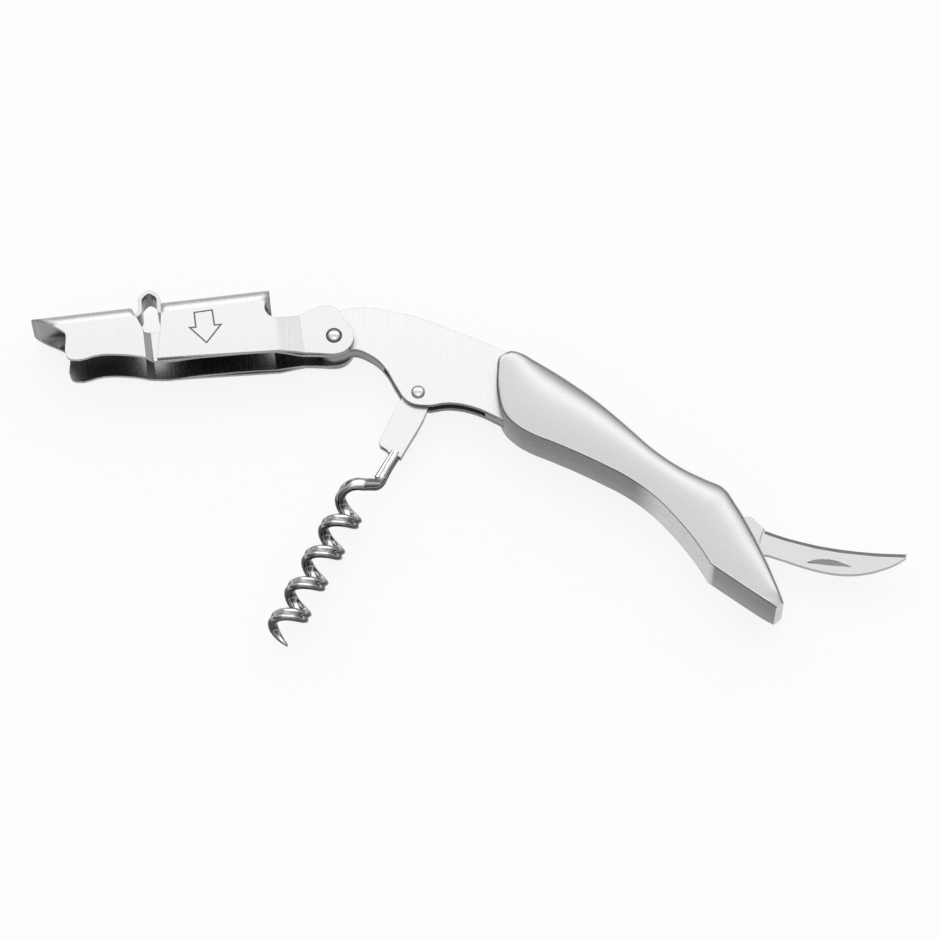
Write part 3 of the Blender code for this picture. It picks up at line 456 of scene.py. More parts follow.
# %% Inner walls of the levers
tree = lever_steel.node_tree
shader = tree.nodes["Principled BSDF"]
place = add(tree, "ShaderNodeTexCoord")
where = add(tree, "ShaderNodeSeparateXYZ", {0: place.outputs["Object"]})
facing = add(tree, "ShaderNodeSeparateXYZ", {0: place.outputs["Normal"]})
above = add(tree, "ShaderNodeMath", {0: where.outputs["Z"], 1: LEVER_PIVOT.z},
            operation="SUBTRACT")
side = add(tree, "ShaderNodeMapRange", {"Value": above.outputs[0], "From Min": -MM,
                                        "From Max": MM, "To Min": -1.0, "To Max": 1.0})
outer = add(tree, "ShaderNodeMath", {0: side.outputs[0], 1: facing.outputs["Z"]},
            operation="MULTIPLY")
back = add(tree, "ShaderNodeVectorMath",
           {0: place.outputs["Normal"], 1: (math.cos(LEVER_BACK), math.sin(LEVER_BACK), 0)},
           operation="DOT_PRODUCT")
outer = add(tree, "ShaderNodeMath", {0: outer.outputs[0], 1: back.outputs["Value"]},
            operation="ADD")
inner = add(tree, "ShaderNodeMapRange", {"Value": outer.outputs[0], "From Min": INNER_START,
                                         "From Max": INNER_END}, interpolation_type="SMOOTHSTEP")
height = add(tree, "ShaderNodeMath", {0: above.outputs[0]}, operation="ABSOLUTE")
within = add(tree, "ShaderNodeMapRange", {"Value": height.outputs[0],
                                          "From Min": (FLANGE_HALF + FLANGE_BLUR) * MM,
                                          "From Max": FLANGE_HALF * MM})
flat = add(tree, "ShaderNodeMath", {0: facing.outputs["Z"]}, operation="ABSOLUTE")
within = add(tree, "ShaderNodeMath", {0: within.outputs[0], 1: flat.outputs[0]},
             operation="MAXIMUM")
inner = add(tree, "ShaderNodeMath", {0: inner.outputs[0], 1: within.outputs[0]},
            operation="MULTIPLY")
brushed_colour = shader.inputs["Base Color"].links[0].from_socket
# Painted shade: the inner walls of the channel get the darker grey.
colour = add(tree, "ShaderNodeMix", {"Factor": inner.outputs[0], 6: brushed_colour,
                                     7: linear(INNER_PAINTED_SHADE)}, data_type="RGBA")
tree.links.new(colour.outputs[2], shader.inputs["Base Color"])
print("inner walls", INNER_PAINTED_SHADE)

# %% [markdown]
# The sheet is bent over a round tool, so the channel's back has a wide, soft bend. The bend turns
# the sheet away from the light bit by bit, and the eye reads that gradient as roundness. Here the
# radius of the broken edge grows towards the back.

# %% Bend of the levers' back
level = add(tree, "ShaderNodeVectorMath", {0: place.outputs["Object"], 1: LEVER_PIVOT},
            operation="SUBTRACT")
level = add(tree, "ShaderNodeVectorMath",
            {0: level.outputs[0], 1: (math.cos(LEVER_BACK), math.sin(LEVER_BACK), 0)},
            operation="DOT_PRODUCT")
radius = add(tree, "ShaderNodeMapRange", {"Value": level.outputs["Value"],
                                          "From Min": BEND_START * MM,
                                          "From Max": BEND_END * MM,
                                          "To Min": EDGE_BREAK, "To Max": BEND_RADIUS * MM})
broken = next(node for node in tree.nodes if node.type == "BEVEL")
tree.links.new(radius.outputs[0], broken.inputs["Radius"])
dress(lever_steel, "long_lever", "step_lever")

# %% [markdown]
# ## The handle scales
#
# Each scale is a moulded steel shell. Its face is a crown: nearly flat along the lower ridge, then
# rolling over further and further towards the back. It is the roll that draws the long soft
# highlight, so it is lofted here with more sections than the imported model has. Every section is a
# closed outline across the handle: the crowned face, the back, the seat on the liner, and the lip
# that wraps the liner's lower edge.

# %% Outline of a scale, as shares of the handle's length and height
HANDLE_LENGTH = 119.0
HANDLE_HEIGHT = 19.0
TOP_SHARES = [
    (0.296, 0.935), (0.318, 1.007), (0.345, 1.023), (0.372, 1.031), (0.400, 1.032),
    (0.433, 1.022), (0.482, 0.995), (0.530, 0.948), (0.580, 0.886), (0.634, 0.818),
    (0.700, 0.795), (0.750, 0.828), (0.785, 0.855), (0.820, 0.762), (0.876, 0.563),
    (0.925, 0.356), (0.966, 0.163), (1.0007, -0.007),
]
LOWER_SHARES = [
    (0.9945, -0.121), (0.950, -0.113), (0.905, -0.099), (0.847, -0.079), (0.808, 0.045),
    (0.771, 0.137), (0.735, 0.212), (0.687, 0.287), (0.624, 0.321), (0.570, 0.300),
    (0.519, 0.266), (0.470, 0.222), (0.422, 0.174), (0.387, 0.179), (0.357, 0.236),
    (0.331, 0.380), (0.301, 0.650), (0.289, 0.830),
]
SHARP_KNOTS = (17, 18, 21)
EDGE_STEPS = 5


def scale_edges():
    """The lower and upper edges of a scale as matched places, from the tail to the front."""
    curve = bpy.data.curves.new("scale_edge", "CURVE")
    curve.resolution_u = EDGE_STEPS
    spline = curve.splines.new("BEZIER")
    spline.bezier_points.add(len(TOP_SHARES + LOWER_SHARES) - 1)
    spline.use_cyclic_u = True
    for i, (knot, (x, y)) in enumerate(zip(spline.bezier_points, TOP_SHARES + LOWER_SHARES)):
        knot.co = (x * HANDLE_LENGTH, y * HANDLE_HEIGHT, 0)
        knot.handle_left_type = "VECTOR" if i in SHARP_KNOTS else "AUTO"
        knot.handle_right_type = knot.handle_left_type
    holder = bpy.data.objects.new("scale_edge", curve)
    mesh = bpy.data.meshes.new_from_object(holder)
    points = [Vector((*vertex.co[:2], 0)) for vertex in mesh.vertices]
    bpy.data.objects.remove(holder)
    bpy.data.meshes.remove(mesh)
    count = (len(TOP_SHARES) - 1) * EDGE_STEPS + 1
    return points[count:2 * count], list(reversed(points[:count]))


LOWER_EDGE, UPPER_EDGE = scale_edges()
print("sections of a scale", len(LOWER_EDGE))

# %% [markdown]
# The crown's height is worked out from how far a place lies from the back edge and from the
# ridge. The roll is nearly flat for most of the way and steepens towards the back, so nobody could
# say where it begins. A small round closes it at the back edge.

# %% Crown of a scale, in millimetres
SCALE_HIGH = 5.9
SCALE_SEAT = 2.45
SCALE_FOOT = 0.02
SCALE_LIP = 0.9
LIP_END = 4.5
ROLL_SHARE = 0.75
ROLL_POWER = 3.2
ROLL_SLOPE = 0.54
BACK_RADIUS = 0.7
LEAN_SHARE = 0.04
LEAN_START_SHARE = 0.4
RIDGE_RADIUS = 0.35
FRONT_RADIUS = 0.8
FRONT_ENDS = (39.3, 46.4)
TAIL_REACH = 3.5
TAIL_DROP = 0.6
ACROSS_STEPS = 22
RIDGE_STEPS = 5
SCALE_SHARP = 40


def ease(value, low, high):
    """A smooth change from 0 at the low value to 1 at the high one."""
    share = min(max((value - low) / (high - low), 0), 1)
    return share * share * (3 - 2 * share)


def line_distance(point, line):
    """The least distance from a place to a line of places."""
    least = []
    for a, b in zip(line, line[1:]):
        foot, share = geometry.intersect_point_line(point, a, b)
        least.append(((foot if 0 < share < 1 else (a if share <= 0 else b)) - point).length)
    return min(least)


def crown_drop(point, foot, head):
    """How far the scale's face lies below its highest level."""
    width = (head - foot).length
    place = (point - foot).length
    inward = line_distance(point, UPPER_EDGE)
    out = 1 - min(inward / (ROLL_SHARE * width), 1)
    drop = ROLL_SLOPE * ROLL_SHARE * width / (ROLL_POWER + 1) * out ** (ROLL_POWER + 1)
    back = 1 - min(inward / BACK_RADIUS, 1)
    drop += BACK_RADIUS * (1 - math.sqrt(1 - back * back))
    drop += LEAN_SHARE * max(LEAN_START_SHARE * width - place, 0) ** 2 / width
    front = 1 - ease(foot.x, *FRONT_ENDS)
    ridge = RIDGE_RADIUS + (FRONT_RADIUS - RIDGE_RADIUS) * front
    near = 1 - min(line_distance(point, LOWER_EDGE + UPPER_EDGE[-1:]) / ridge, 1)
    drop += ridge * (1 - math.sqrt(1 - near * near))
    end = min(line_distance(point, [LOWER_EDGE[0], UPPER_EDGE[0]]) / TAIL_REACH, 1)
    return drop + TAIL_DROP * (1 - end) ** 2


def scale_section(foot, head):
    """A closed outline across the scale, from its ridge over the crown to the back and under."""
    width = (head - foot).length
    ridge = min(FRONT_RADIUS, width / 4)
    places = [ridge * (1 - math.cos(math.pi / 2 * i / RIDGE_STEPS)) for i in range(RIDGE_STEPS)]
    places += [ridge + (width - ridge) * math.sin(math.pi / 2 * i / ACROSS_STEPS)
               for i in range(ACROSS_STEPS + 1)]
    section = []
    for place in places:
        point = foot + (head - foot) * (place / width)
        section.append(Vector((point.x, point.y, SCALE_HIGH - crown_drop(point, foot, head))))
    inner = foot + (head - foot) * min(SCALE_LIP / width, 0.5)
    on_front = foot.x < FRONT_ENDS[0] and foot.y > LIP_END
    lip = SCALE_SEAT if on_front else SCALE_FOOT
    seat = SCALE_FOOT if foot.x > LOWER_EDGE[0].x - SCALE_LIP else SCALE_SEAT
    section.append(Vector((head.x, head.y, seat)))
    section.append(Vector((inner.x, inner.y, seat)))
    section.append(Vector((inner.x, inner.y, lip)))
    section.append(Vector((foot.x, foot.y, lip)))
    return section


SECTIONS = [scale_section(foot, head) for foot, head in zip(LOWER_EDGE, UPPER_EDGE)]
near_scale = lofted("crowned_scale_near", SECTIONS,
                    lambda x, y, z: spot(LEVER_PIVOT, 0, x, y, z), SCALE_SHARP)
far_scale = lofted("crowned_scale_far", SECTIONS,
                   lambda x, y, z: spot(LEVER_PIVOT, 0, x, y, -z), SCALE_SHARP)
for made, node in ((near_scale, "near_scale"), (far_scale, "far_scale")):
    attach(made, "handle")
    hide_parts(node)
print("scale faces", len(near_scale.data.polygons))

# %% [markdown]
# The scales are bead-blasted, then the closed handle is run along a belt, lengthwise. The beads
# leave dimples of about a tenth of a millimetre, too small to see one by one, which are drawn
# 0.25 mm wide. The belt leaves long faint lines on the walls. The wall's grey is painted light that
# follows its heading: a painted highlight where a wall faces the window, painted shade where it
# turns away.

# %% Handle scales
BEAD_SIZE = 0.25
BELT_WIDTH = 0.22
BELT_LENGTH = 22
SATIN_SLOPES = (0.45, 0.9)
SATIN_ROUGHNESS = (0.24, 0.31)
BELT_ROUGHNESS = (0.20, 0.36)

satin_steel, tree, shader = metal("bead_blasted_steel", "#B2B2B1", 0.28)
place = add(tree, "ShaderNodeTexCoord")
beads = add(tree, "ShaderNodeTexNoise", {"Vector": place.outputs["Object"],
                                         "Scale": 1 / (BEAD_SIZE * MM), "Detail": 2})
lines = scratches(tree, BELT_WIDTH, BELT_LENGTH, 0)
face = faces_out(tree, *SATIN_SLOPES)
satin = add(tree, "ShaderNodeMapRange", {**NOISE_RANGE, "Value": beads.outputs[0],
                                         "To Min": SATIN_ROUGHNESS[0],
                                         "To Max": SATIN_ROUGHNESS[1]})
belt = add(tree, "ShaderNodeMapRange", {**NOISE_RANGE, "Value": lines.outputs[0],
                                        "To Min": BELT_ROUGHNESS[0],
                                        "To Max": BELT_ROUGHNESS[1]})
rough = add(tree, "ShaderNodeMix", {0: face.outputs[0], 2: belt.outputs[0],
                                    3: satin.outputs[0]})
tree.links.new(rough.outputs[0], shader.inputs["Roughness"])
print("scale finish", satin_steel.name)

# %% [markdown]
# The wall's painted grey comes from its heading alone, taken from the part of its normal that lies
# level. The painted highlight is a band of headings near the window, only on the rear half, and at
# the square ends; elsewhere the wall gets painted shade.

# %% Walls of the scales
HIGHLIGHT_HEADING = math.radians(63)
HIGHLIGHT_START = 0.905
HIGHLIGHT_END = 0.975
REAR_START = 42 * MM
REAR_END = 86 * MM
SQUARE_START = 0.78
SQUARE_END = 0.92
STREAK_RANGE = (0.62, 1.2)
FACE_GREY = "#B2B2B1"
WALL_PAINTED_SHADE = "#7C7C7B"
WALL_PAINTED_HIGHLIGHT = "#CECECC"

level = add(tree, "ShaderNodeVectorMath", {0: place.outputs["Normal"], 1: (1, 1, 0)},
            operation="MULTIPLY")
level = add(tree, "ShaderNodeVectorMath", {0: level.outputs[0]}, operation="NORMALIZE")
facing = add(tree, "ShaderNodeVectorMath",
             {0: level.outputs[0], 1: (math.cos(HIGHLIGHT_HEADING), math.sin(HIGHLIGHT_HEADING), 0)},
             operation="DOT_PRODUCT")
facing = add(tree, "ShaderNodeMath", {0: facing.outputs["Value"]}, operation="ABSOLUTE")
painted_highlight = add(tree, "ShaderNodeMapRange", {"Value": facing.outputs[0], "From Min": HIGHLIGHT_START,
                                         "From Max": HIGHLIGHT_END}, interpolation_type="SMOOTHSTEP")
where = add(tree, "ShaderNodeSeparateXYZ", {0: place.outputs["Object"]})
rear = add(tree, "ShaderNodeMapRange", {"Value": where.outputs["X"],
                                        "From Min": LEVER_PIVOT.x + REAR_START,
                                        "From Max": LEVER_PIVOT.x + REAR_END},
           interpolation_type="SMOOTHSTEP")
painted_highlight = add(tree, "ShaderNodeMath", {0: painted_highlight.outputs[0], 1: rear.outputs[0]},
            operation="MULTIPLY")
ends = add(tree, "ShaderNodeSeparateXYZ", {0: level.outputs[0]})
ends = add(tree, "ShaderNodeMath", {0: ends.outputs["X"]}, operation="ABSOLUTE")
ends = add(tree, "ShaderNodeMapRange", {"Value": ends.outputs[0], "From Min": SQUARE_START,
                                        "From Max": SQUARE_END}, interpolation_type="SMOOTHSTEP")
painted_highlight = add(tree, "ShaderNodeMath", {0: painted_highlight.outputs[0], 1: ends.outputs[0]},
            operation="MAXIMUM")
# Painted light: a dark grey as painted shade, a pale grey as painted highlight near the window.
dull = add(tree, "ShaderNodeMix", {0: painted_highlight.outputs[0], 6: linear(WALL_PAINTED_SHADE),
                                   7: linear(WALL_PAINTED_HIGHLIGHT)}, data_type="RGBA")
streak = add(tree, "ShaderNodeMapRange", {**NOISE_RANGE, "Value": lines.outputs[0],
                                          "To Min": STREAK_RANGE[0], "To Max": STREAK_RANGE[1]})
wall = add(tree, "ShaderNodeMix", {0: 1.0, 6: dull.outputs[2], 7: streak.outputs[0]},
           data_type="RGBA", blend_type="MULTIPLY")
colour = add(tree, "ShaderNodeMix", {"Factor": face.outputs[0], 6: wall.outputs[2],
                                     7: linear(FACE_GREY)}, data_type="RGBA")
tree.links.new(colour.outputs[2], shader.inputs["Base Color"])
print("wall greys", WALL_PAINTED_SHADE, WALL_PAINTED_HIGHLIGHT)

# %% [markdown]
# The relief is very low, because the satin is even: dimples on the face, belt lines on the walls.

# %% Relief of the scales
SATIN_BUMP = 0.06
SATIN_RELIEF = 0.004 * MM

height = add(tree, "ShaderNodeMix", {0: face.outputs[0], 2: lines.outputs[0],
                                     3: beads.outputs[0]})
bump = add(tree, "ShaderNodeBump", {"Height": height.outputs[0], "Strength": SATIN_BUMP,
                                    "Distance": SATIN_RELIEF})
tree.links.new(bump.outputs[0], shader.inputs["Normal"])
for made in (near_scale, far_scale):
    made.data.materials.append(satin_steel)
dress(satin_steel, "near_scale", "far_scale")

# %% [markdown]
# ## Rivets, pins, washers and spacers
#
# The rivets are turned and polished, and a polish is never quite even in its gloss. The pins lie
# inside the frame, so only the two rivets show, as small round mirrors.

# %% Small steel
RIVET_ROUGHNESS = (0.12, 0.26)
RIVET_WEAR = 0.8 * MM

made, tree, shader = metal("polished_rivet_steel", "#BEBEBC", 0.18)
place = add(tree, "ShaderNodeTexCoord")
wear = add(tree, "ShaderNodeTexNoise", {"Vector": place.outputs["Object"],
                                        "Scale": 1 / RIVET_WEAR, "Detail": 3})
rough = add(tree, "ShaderNodeMapRange", {**NOISE_RANGE, "Value": wear.outputs[0],
                                         "To Min": RIVET_ROUGHNESS[0],
                                         "To Max": RIVET_ROUGHNESS[1]})
tree.links.new(rough.outputs[0], shader.inputs["Roughness"])
rivet_steel = made
dress(rivet_steel, "lever_rivet", "worm_rivet", "knife_pin", "handle_pin_front",
      "handle_pin_middle", "handle_pin_rear")

# %% [markdown]
# The lever's rivet head sits in a small countersink. The ring of shadow round it is what tells
# the eye that the head is set in, so head and countersink are turned here in one profile, and the
# countersink is painted a dark grey as that shadow.

# %% Lever rivet
RIVET_SIDES = 48
DOME_STEPS = 8
HEAD_RADIUS = 1.55
SINK_RADIUS = 1.84
HEAD_EDGE = 0.05
DOME_TIP = 0.01
SHAFT_RADIUS = 1.3
LEVER_FACE = 4.3
HEAD_HEIGHT = 0.55
SINK_LIFT = 0.03
SINK_ROUGHNESS = (0.4, 0.6)
SINK_HAZE_SIZE = 0.3 * MM

profile = []
for i in range(DOME_STEPS + 1):
    lean = math.pi / 2 * i / DOME_STEPS
    profile.append((HEAD_RADIUS * math.sin(lean) + DOME_TIP,
                    LEVER_FACE + SINK_LIFT + (HEAD_HEIGHT - SINK_LIFT) * math.cos(lean)))
profile += [(SINK_RADIUS, LEVER_FACE + SINK_LIFT), (SINK_RADIUS, LEVER_FACE),
            (SHAFT_RADIUS, LEVER_FACE)]
profile += [(radius, -high) for radius, high in reversed(profile)]
CIRCLES = [[Vector((radius * math.cos(math.tau * i / RIVET_SIDES),
                    radius * math.sin(math.tau * i / RIVET_SIDES), high))
            for i in range(RIVET_SIDES)] for radius, high in profile]
rivet = lofted("set_in_rivet", CIRCLES, lambda x, y, z: spot(LEVER_PIVOT, 0, x, y, z))
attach(rivet, "handle")
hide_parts("lever_rivet")
# The countersink ring is painted a dark grey: painted shadow round the head.
sink_steel, tree, shader = metal("shaded_countersink", "#4A4A49", 0.5)
place = add(tree, "ShaderNodeTexCoord")
sink_haze = add(tree, "ShaderNodeTexNoise", {"Vector": place.outputs["Object"],
                                         "Scale": 1 / SINK_HAZE_SIZE, "Detail": 2})
rough = add(tree, "ShaderNodeMapRange", {**NOISE_RANGE, "Value": sink_haze.outputs[0],
                                         "To Min": SINK_ROUGHNESS[0], "To Max": SINK_ROUGHNESS[1]})
tree.links.new(rough.outputs[0], shader.inputs["Roughness"])
rivet.data.materials.append(rivet_steel)
rivet.data.materials.append(sink_steel)
for face in rivet.data.polygons:
    out = (face.center - LEVER_PIVOT).to_2d().length
    face.material_index = 1 if out > (HEAD_RADIUS + HEAD_EDGE) * MM else 0
print("rivet faces", len(rivet.data.polygons))

# %% [markdown]
# Spacers and washers are stamped from plain sheet and never polished, so they stay a dull grey.

# %% Hidden steel
# Their edge grey is partly painted shade on the rims, partly a duller cut finish.
spacer_steel = brushed("plain_spacer_steel", "#B8B8B6", "#A8A8A6", "#8A8A88", 0.38,
                       width=0.2, length=3, heading=0, relief=0.003)
dress(spacer_steel, "nose_spacer", "handle_spacer")
washer_steel = brushed("plain_washer_steel", "#B4B4B2", "#A4A4A2", "#8A8A88", 0.35,
                       width=0.2, length=2, heading=0, relief=0.003)
dress(washer_steel, "knife_washer_near", "knife_washer_far")

# %% [markdown]
# ## The foil knife
#
# The blade is hardened stainless, ground across its length on a wheel, which leaves the upright
# streaks. The hollow edge is ground a second time; its darker grey is painted shade, laid on by
# the slope mask, since that slope turns the light away.

# %% Blade
KNIFE_ANGLE = math.radians(27)
blade_steel = brushed("cross_ground_blade_steel", "#C0C0C0", "#B7B7B7", "#A8A8A6", 0.28,
                      width=0.2, length=8, heading=KNIFE_ANGLE + math.pi / 2, relief=0.003,
                      slopes=(0.9, 0.97))
dress(blade_steel, "knife_blade")

# %% [markdown]
# The grind stops short of the blade's root. The wheel leaves a fine curved step there, drawn as a
# flat ribbon painted a darker grey: painted shade for the step.

# %% Grind line
KNIFE_PIVOT = middle("knife_pin")
GRIND_PLACES = [(4.56, 4.14), (4.21, 2.9), (3.92, 1.66), (3.91, 0.63)]
GRIND_LINE = 0.34

blade_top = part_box("knife_blade")[1][2] / MM - KNIFE_PIVOT.z / MM
grind = ribbon("grind_line", GRIND_PLACES, GRIND_LINE, False,
               lambda x, y: spot(KNIFE_PIVOT, KNIFE_ANGLE, x, y, blade_top + RIBBON_LIFT))
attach(grind, "knife")
grind.data.materials.append(brushed("ground_step_painted_shade", "#9A9A9A", "#8E8E8E", "#808080", 0.4,
                                    width=0.2, length=3, heading=KNIFE_ANGLE, relief=0.002))
print("grind line places", len(GRIND_PLACES))

# %% [markdown]
# The nail nick is milled with a small wheel, held at a slant, so it is deepest along its arch. Its
# slope turns away from the lamps and reads as a dark crescent. The imported blade has the cut
# itself. A thin crescent laid level over it is painted a dark grey: painted shade for that slope.

# %% Nail nick
NICK_ARCH = [(14.75, -2.85), (15.5, -2.45), (16.4, -2.1), (18.1, -1.75), (20.1, -1.79),
             (22.2, -2.15), (23.4, -2.5), (24.5, -2.93)]
NICK_BELLY = 0.26
NICK_LIFT = 0.004

nick_mesh = bpy.data.meshes.new("nail_nick")
work = bmesh.new()
first, last = Vector(NICK_ARCH[0]), Vector(NICK_ARCH[-1])
rows = []
for x, y in NICK_ARCH[1:-1]:
    share = (x - first.x) / (last.x - first.x)
    low = first + (last - first) * share - Vector((0, NICK_BELLY * math.sin(math.pi * share)))
    rows.append([work.verts.new(spot(KNIFE_PIVOT, KNIFE_ANGLE, a, b, blade_top + NICK_LIFT))
                 for a, b in ((low.x, low.y), (x, y))])
tips = [work.verts.new(spot(KNIFE_PIVOT, KNIFE_ANGLE, *tip, blade_top + NICK_LIFT))
        for tip in (first, last)]
for one, two in zip(rows, rows[1:]):
    work.faces.new((one[0], two[0], two[1], one[1]))
work.faces.new((tips[0], rows[0][0], rows[0][1]))
work.faces.new((rows[-1][0], tips[1], rows[-1][1]))
work.to_mesh(nick_mesh)
work.free()
nick = bpy.data.objects.new("nail_nick", nick_mesh)
bpy.context.scene.collection.objects.link(nick)
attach(nick, "knife")
nick_mesh.materials.append(brushed("milled_nick_painted_shade", "#808080", "#707070", "#686868", 0.4,
                                   width=0.25, length=4, heading=KNIFE_ANGLE, relief=0.003))
print("nick corners", len(nick_mesh.vertices))

# %% [markdown]
# ## The tang and the spring
#
# The worm hangs in a folded tang of bright sheet. The looped spring between the levers is a
# polished strip.

# %% Tang and spring
# Their dark edge greys are painted shade on the rims, as well as a duller cut finish.
tang_steel = brushed("bright_folded_sheet", "#CECECD", "#C6C6C5", "#7C7C7A", 0.26,
                     width=0.14, length=5, heading=WORM_ANGLE, relief=0.003)
dress(tang_steel, "worm_tang")
spring_steel = brushed("polished_spring_strip", "#C6C6C4", "#BCBCBA", "#5E5E5C", 0.16,
                       width=0.12, length=5, heading=LEVER_ANGLE, relief=0.002)
dress(spring_steel, "step_spring")

# %% [markdown]
# ## The worm
#
# The worm is wound from polished wire with a groove rolled along its outer side, which lets the
# cork slide. It is modelled again here, finer than in the frame, because a mirror shows every
# facet. The wire is a loft: an oval section, with a dip for the groove, is carried along the
# helix and keeps its dip turned away from the axis.

# %% Sizes of the worm, in millimetres
HELIX_START = 25.5
HELIX_PITCH = 8.3
HELIX_RADIUS = 3.0
HELIX_OFFSET = -1.75
HELIX_TURNS = 4.87
FIRST_TURN_RISE = 1.4
LEAD_RADIUS = 1.3
WIRE_DEPTH = 2.3
WIRE_WIDTH = 3.0
GROOVE_DEPTH = 0.5
GROOVE_HALF = 0.62
GROOVE_POWER = 0.6
POINT_SHARE = 0.15
POINT_TURNS = 0.5
LEAD_ANGLE = math.radians(75)
OVAL_ANGLE = math.radians(110)
GROOVE_ANGLES = (math.radians(110), math.radians(190))
LEAD_PLACES = [
    (14.6, 1.75, 0), (15.9, 1.75, 0), (19.0, 1.54, 0), (21.37, 1.57, 0), (22.8, 1.62, 0.35),
    (23.94, 1.24, 1.0), (24.81, 0.26, 1.9),
]
WIRE_SIDES = 32
STEPS_A_TURN = 44
STEPS_A_LEAD = 6
print("wire leaves the helix at", HELIX_START + HELIX_PITCH * HELIX_TURNS, "mm")

# %% [markdown]
# The wire follows a helix. Its first half turn is drawn up towards the tang, and a smooth lead
# through a few places joins it to the tang's axis.

# %% The wire's way
def helix_place(turn):
    """A place on the wire's middle line, the first half turn drawn up towards the tang."""
    rise = FIRST_TURN_RISE * math.sin(turn) if turn < math.pi else 0
    return Vector((HELIX_START + HELIX_PITCH * turn / math.tau - rise,
                   HELIX_OFFSET + HELIX_RADIUS * math.cos(turn), HELIX_RADIUS * math.sin(turn)))


def smooth_line(points, steps):
    """Points on a smooth curve through the given ones."""
    ends = [points[0]] + points + [points[-1]]
    line = []
    for a, b, c, d in zip(ends, ends[1:], ends[2:], ends[3:]):
        for i in range(steps):
            t = i / steps
            line.append(b + (c - a + (2 * a - 5 * b + 4 * c - d
                                      + (3 * (b - c) + d - a) * t) * t) * (t / 2))
    return line


def wire_line():
    """The wire's middle line, each place with its angle about the helix."""
    last = math.tau * HELIX_TURNS
    count = int((last - LEAD_ANGLE) / math.tau * STEPS_A_TURN)
    turns = [LEAD_ANGLE + (last - LEAD_ANGLE) * i / count for i in range(count + 1)]
    ahead = helix_place(LEAD_ANGLE + math.tau / WIRE_SIDES)
    lead = smooth_line([Vector(p) for p in LEAD_PLACES] + [helix_place(LEAD_ANGLE), ahead],
                       STEPS_A_LEAD)
    lead = lead[:len(LEAD_PLACES) * STEPS_A_LEAD]
    line = [(place, LEAD_ANGLE * i / len(lead)) for i, place in enumerate(lead)]
    return line + [(helix_place(turn), turn) for turn in turns]


LINE = wire_line()
print("wire stations", len(LINE))

# %% [markdown]
# The section starts round, like the wire as it was bought, and becomes an oval with a groove where
# the rolls have pressed it. It thins to a point over the last half turn.

# %% The wire's section
def wire_ring(place, forward, turn):
    """One section of the wire, as places about its middle line."""
    sideways = forward.cross(Vector((0, math.cos(turn), math.sin(turn)))).normalized()
    outward = sideways.cross(forward)
    oval = ease(turn, 0, OVAL_ANGLE)
    groove = GROOVE_DEPTH * ease(turn, *GROOVE_ANGLES)
    deep = LEAD_RADIUS + (WIRE_DEPTH / 2 - LEAD_RADIUS) * oval
    wide = LEAD_RADIUS + (WIRE_WIDTH / 2 - LEAD_RADIUS) * oval
    left = HELIX_TURNS - turn / math.tau
    scale = POINT_SHARE + (1 - POINT_SHARE) * math.sin(min(left / POINT_TURNS, 1) * math.pi / 2)
    ring = []
    for i in range(WIRE_SIDES):
        around = math.tau * i / WIRE_SIDES
        dip = groove * max(1 - abs(wide * math.sin(around)) / GROOVE_HALF, 0) ** GROOVE_POWER
        reach = deep * math.cos(around) - (dip if math.cos(around) > 0 else 0)
        ring.append(place + (outward * reach + sideways * (wide * math.sin(around))) * scale)
    return ring


RINGS = []
for i, (place, turn) in enumerate(LINE):
    ahead = LINE[min(i + 1, len(LINE) - 1)][0] - LINE[max(i - 1, 0)][0]
    RINGS.append(wire_ring(place, ahead.normalized(), turn))
worm = lofted("polished_worm", RINGS, lambda x, y, z: spot(WORM_PIVOT, WORM_ANGLE, x, y, z))
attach(worm, "worm")
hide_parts("worm_wire")
print("worm faces", len(worm.data.polygons))

# %% [markdown]
# The wire is doubled back inside the tang, so that it can't pull out. Its flattened other end
# shows beside the lead as a short tongue with a bright cut end.

# %% Wire end
END_PLACES = [(14.8, 1.15), (16.6, 1.07), (18.6, 0.98), (20.6, 0.89), (22.3, 0.81)]
END_WIDTHS = (0.95, 1.5)
END_HEIGHT = 1.3
END_RISE = 0.8
END_SIDES = 16

END_RINGS = []
for i, (x, y) in enumerate(END_PLACES):
    share = i / (len(END_PLACES) - 1)
    wide = END_WIDTHS[0] + (END_WIDTHS[1] - END_WIDTHS[0]) * share
    END_RINGS.append([Vector((x, y + wide / 2 * math.cos(math.tau * k / END_SIDES),
                              END_RISE + END_HEIGHT / 2 * math.sin(math.tau * k / END_SIDES)))
                      for k in range(END_SIDES)])
wire_end = lofted("worm_wire_end", END_RINGS,
                  lambda x, y, z: spot(WORM_PIVOT, WORM_ANGLE, x, y, z))
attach(wire_end, "worm")
print("wire end faces", len(wire_end.data.polygons))

# %% [markdown]
# The wire is buffed to a mirror after winding. A buff can't reach everywhere, so a little haze
# stays, and the roughness drifts slightly along the wire. The flanks between the turns are painted
# a darker grey, as painted shade, and the crests a paler grey, as painted highlight. A steep face
# mirrors the white table, and without that painted shade the worm would lose its outline. Drawing
# the wire leaves shallow waves, drawn 0.7 mm long.

# %% Polished wire
WIRE_ROUGHNESS = (0.05, 0.16)
WIRE_SLOPES = (0.42, 0.8)
HAZE_SIZE = 1.5 * MM
WAVE_SIZE = 0.7 * MM
WAVE_BUMP = 0.35
WAVE_DEPTH = 0.03 * MM

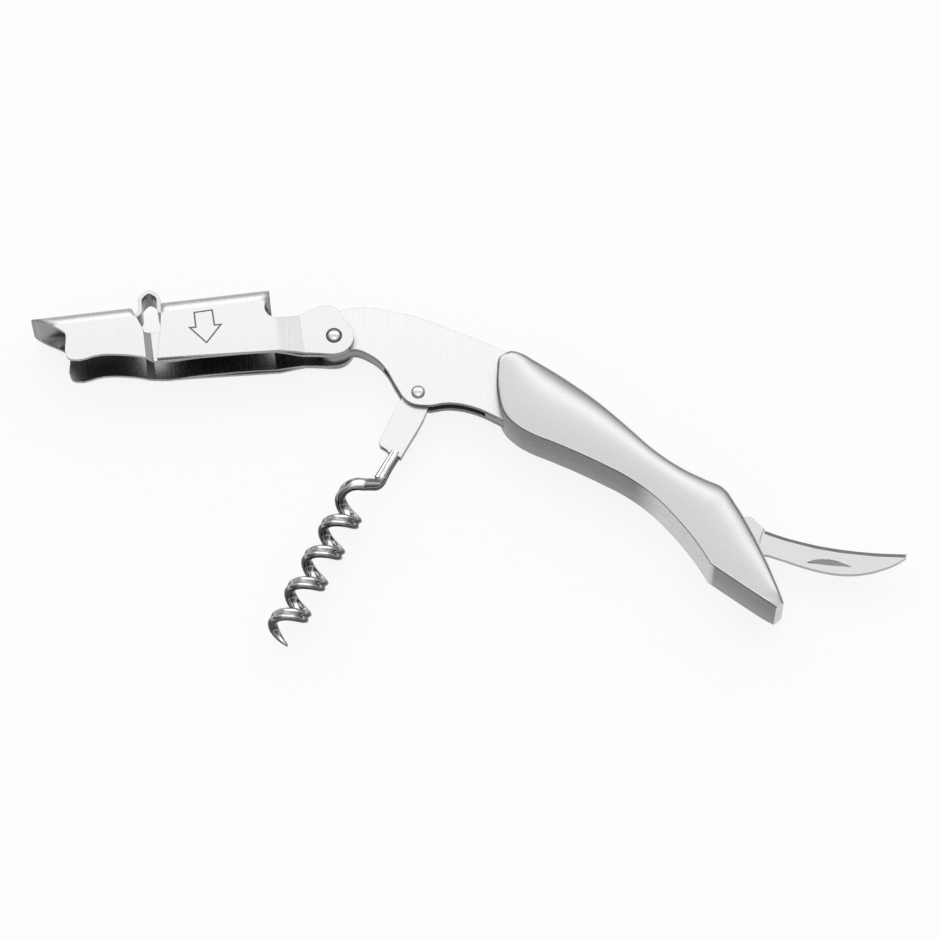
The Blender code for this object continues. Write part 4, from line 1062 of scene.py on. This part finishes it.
made, tree, shader = metal("polished_worm_wire", "#CACAC8", 0.08)
place = add(tree, "ShaderNodeTexCoord")
haze = add(tree, "ShaderNodeTexNoise", {"Vector": place.outputs["Object"],
                                        "Scale": 1 / HAZE_SIZE, "Detail": 4})
rough = add(tree, "ShaderNodeMapRange", {**NOISE_RANGE, "Value": haze.outputs[0],
                                         "To Min": WIRE_ROUGHNESS[0], "To Max": WIRE_ROUGHNESS[1]})
tree.links.new(rough.outputs[0], shader.inputs["Roughness"])
top = faces_out(tree, *WIRE_SLOPES)
# Painted shade on the steep flanks, painted highlight on the crests.
colour = add(tree, "ShaderNodeMix", {"Factor": top.outputs[0], 6: linear("#464646"),
                                     7: linear("#DEDEDE")}, data_type="RGBA")
tree.links.new(colour.outputs[2], shader.inputs["Base Color"])
draw = add(tree, "ShaderNodeTexNoise", {"Vector": place.outputs["Object"],
                                        "Scale": 1 / WAVE_SIZE, "Detail": 2})
bump = add(tree, "ShaderNodeBump", {"Height": draw.outputs[0], "Strength": WAVE_BUMP,
                                    "Distance": WAVE_DEPTH})
tree.links.new(bump.outputs[0], shader.inputs["Normal"])
worm.data.materials.append(made)
wire_end.data.materials.append(made)
print("worm material", made.name)

# %% [markdown]
# ## The arrow on the step lever
#
# A plain outline arrow is etched on the step lever, to show which way it is pressed. Etching
# leaves a thin matt grey line. It is drawn as a flat ribbon that follows the arrow's outline.

# %% Etched arrow
ARROW_PLACES = [(30.7, -8.7), (26.6, -8.8), (26.5, -5.0), (25.0, -5.0), (28.7, -0.9),
                (32.1, -5.1), (30.7, -5.0)]
ARROW_LINE = 0.36
ETCH_ROUGHNESS = (0.5, 0.7)
ETCH_GRAIN = 0.1 * MM

lever_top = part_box("step_lever")[1][2] / MM - LEVER_PIVOT.z / MM + RIBBON_LIFT
arrow = ribbon("etched_arrow", ARROW_PLACES, ARROW_LINE, True,
               lambda x, y: spot(LEVER_PIVOT, LEVER_ANGLE, x, y, lever_top))
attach(arrow, "step")

etch, tree, shader = metal("etched_line", "#6E6E6C", 0.6)
place = add(tree, "ShaderNodeTexCoord")
grain = add(tree, "ShaderNodeTexNoise", {"Vector": place.outputs["Object"],
                                         "Scale": 1 / ETCH_GRAIN, "Detail": 1})
rough = add(tree, "ShaderNodeMapRange", {**NOISE_RANGE, "Value": grain.outputs[0],
                                         "To Min": ETCH_ROUGHNESS[0], "To Max": ETCH_ROUGHNESS[1]})
tree.links.new(rough.outputs[0], shader.inputs["Roughness"])
arrow.data.materials.append(etch)
print("arrow corners", len(ARROW_PLACES))

# %% [markdown]
# ## Last settings
#
# The render shows colours as they are written, so the view transform stays Standard.

bpy.context.scene.view_settings.view_transform = "Standard"
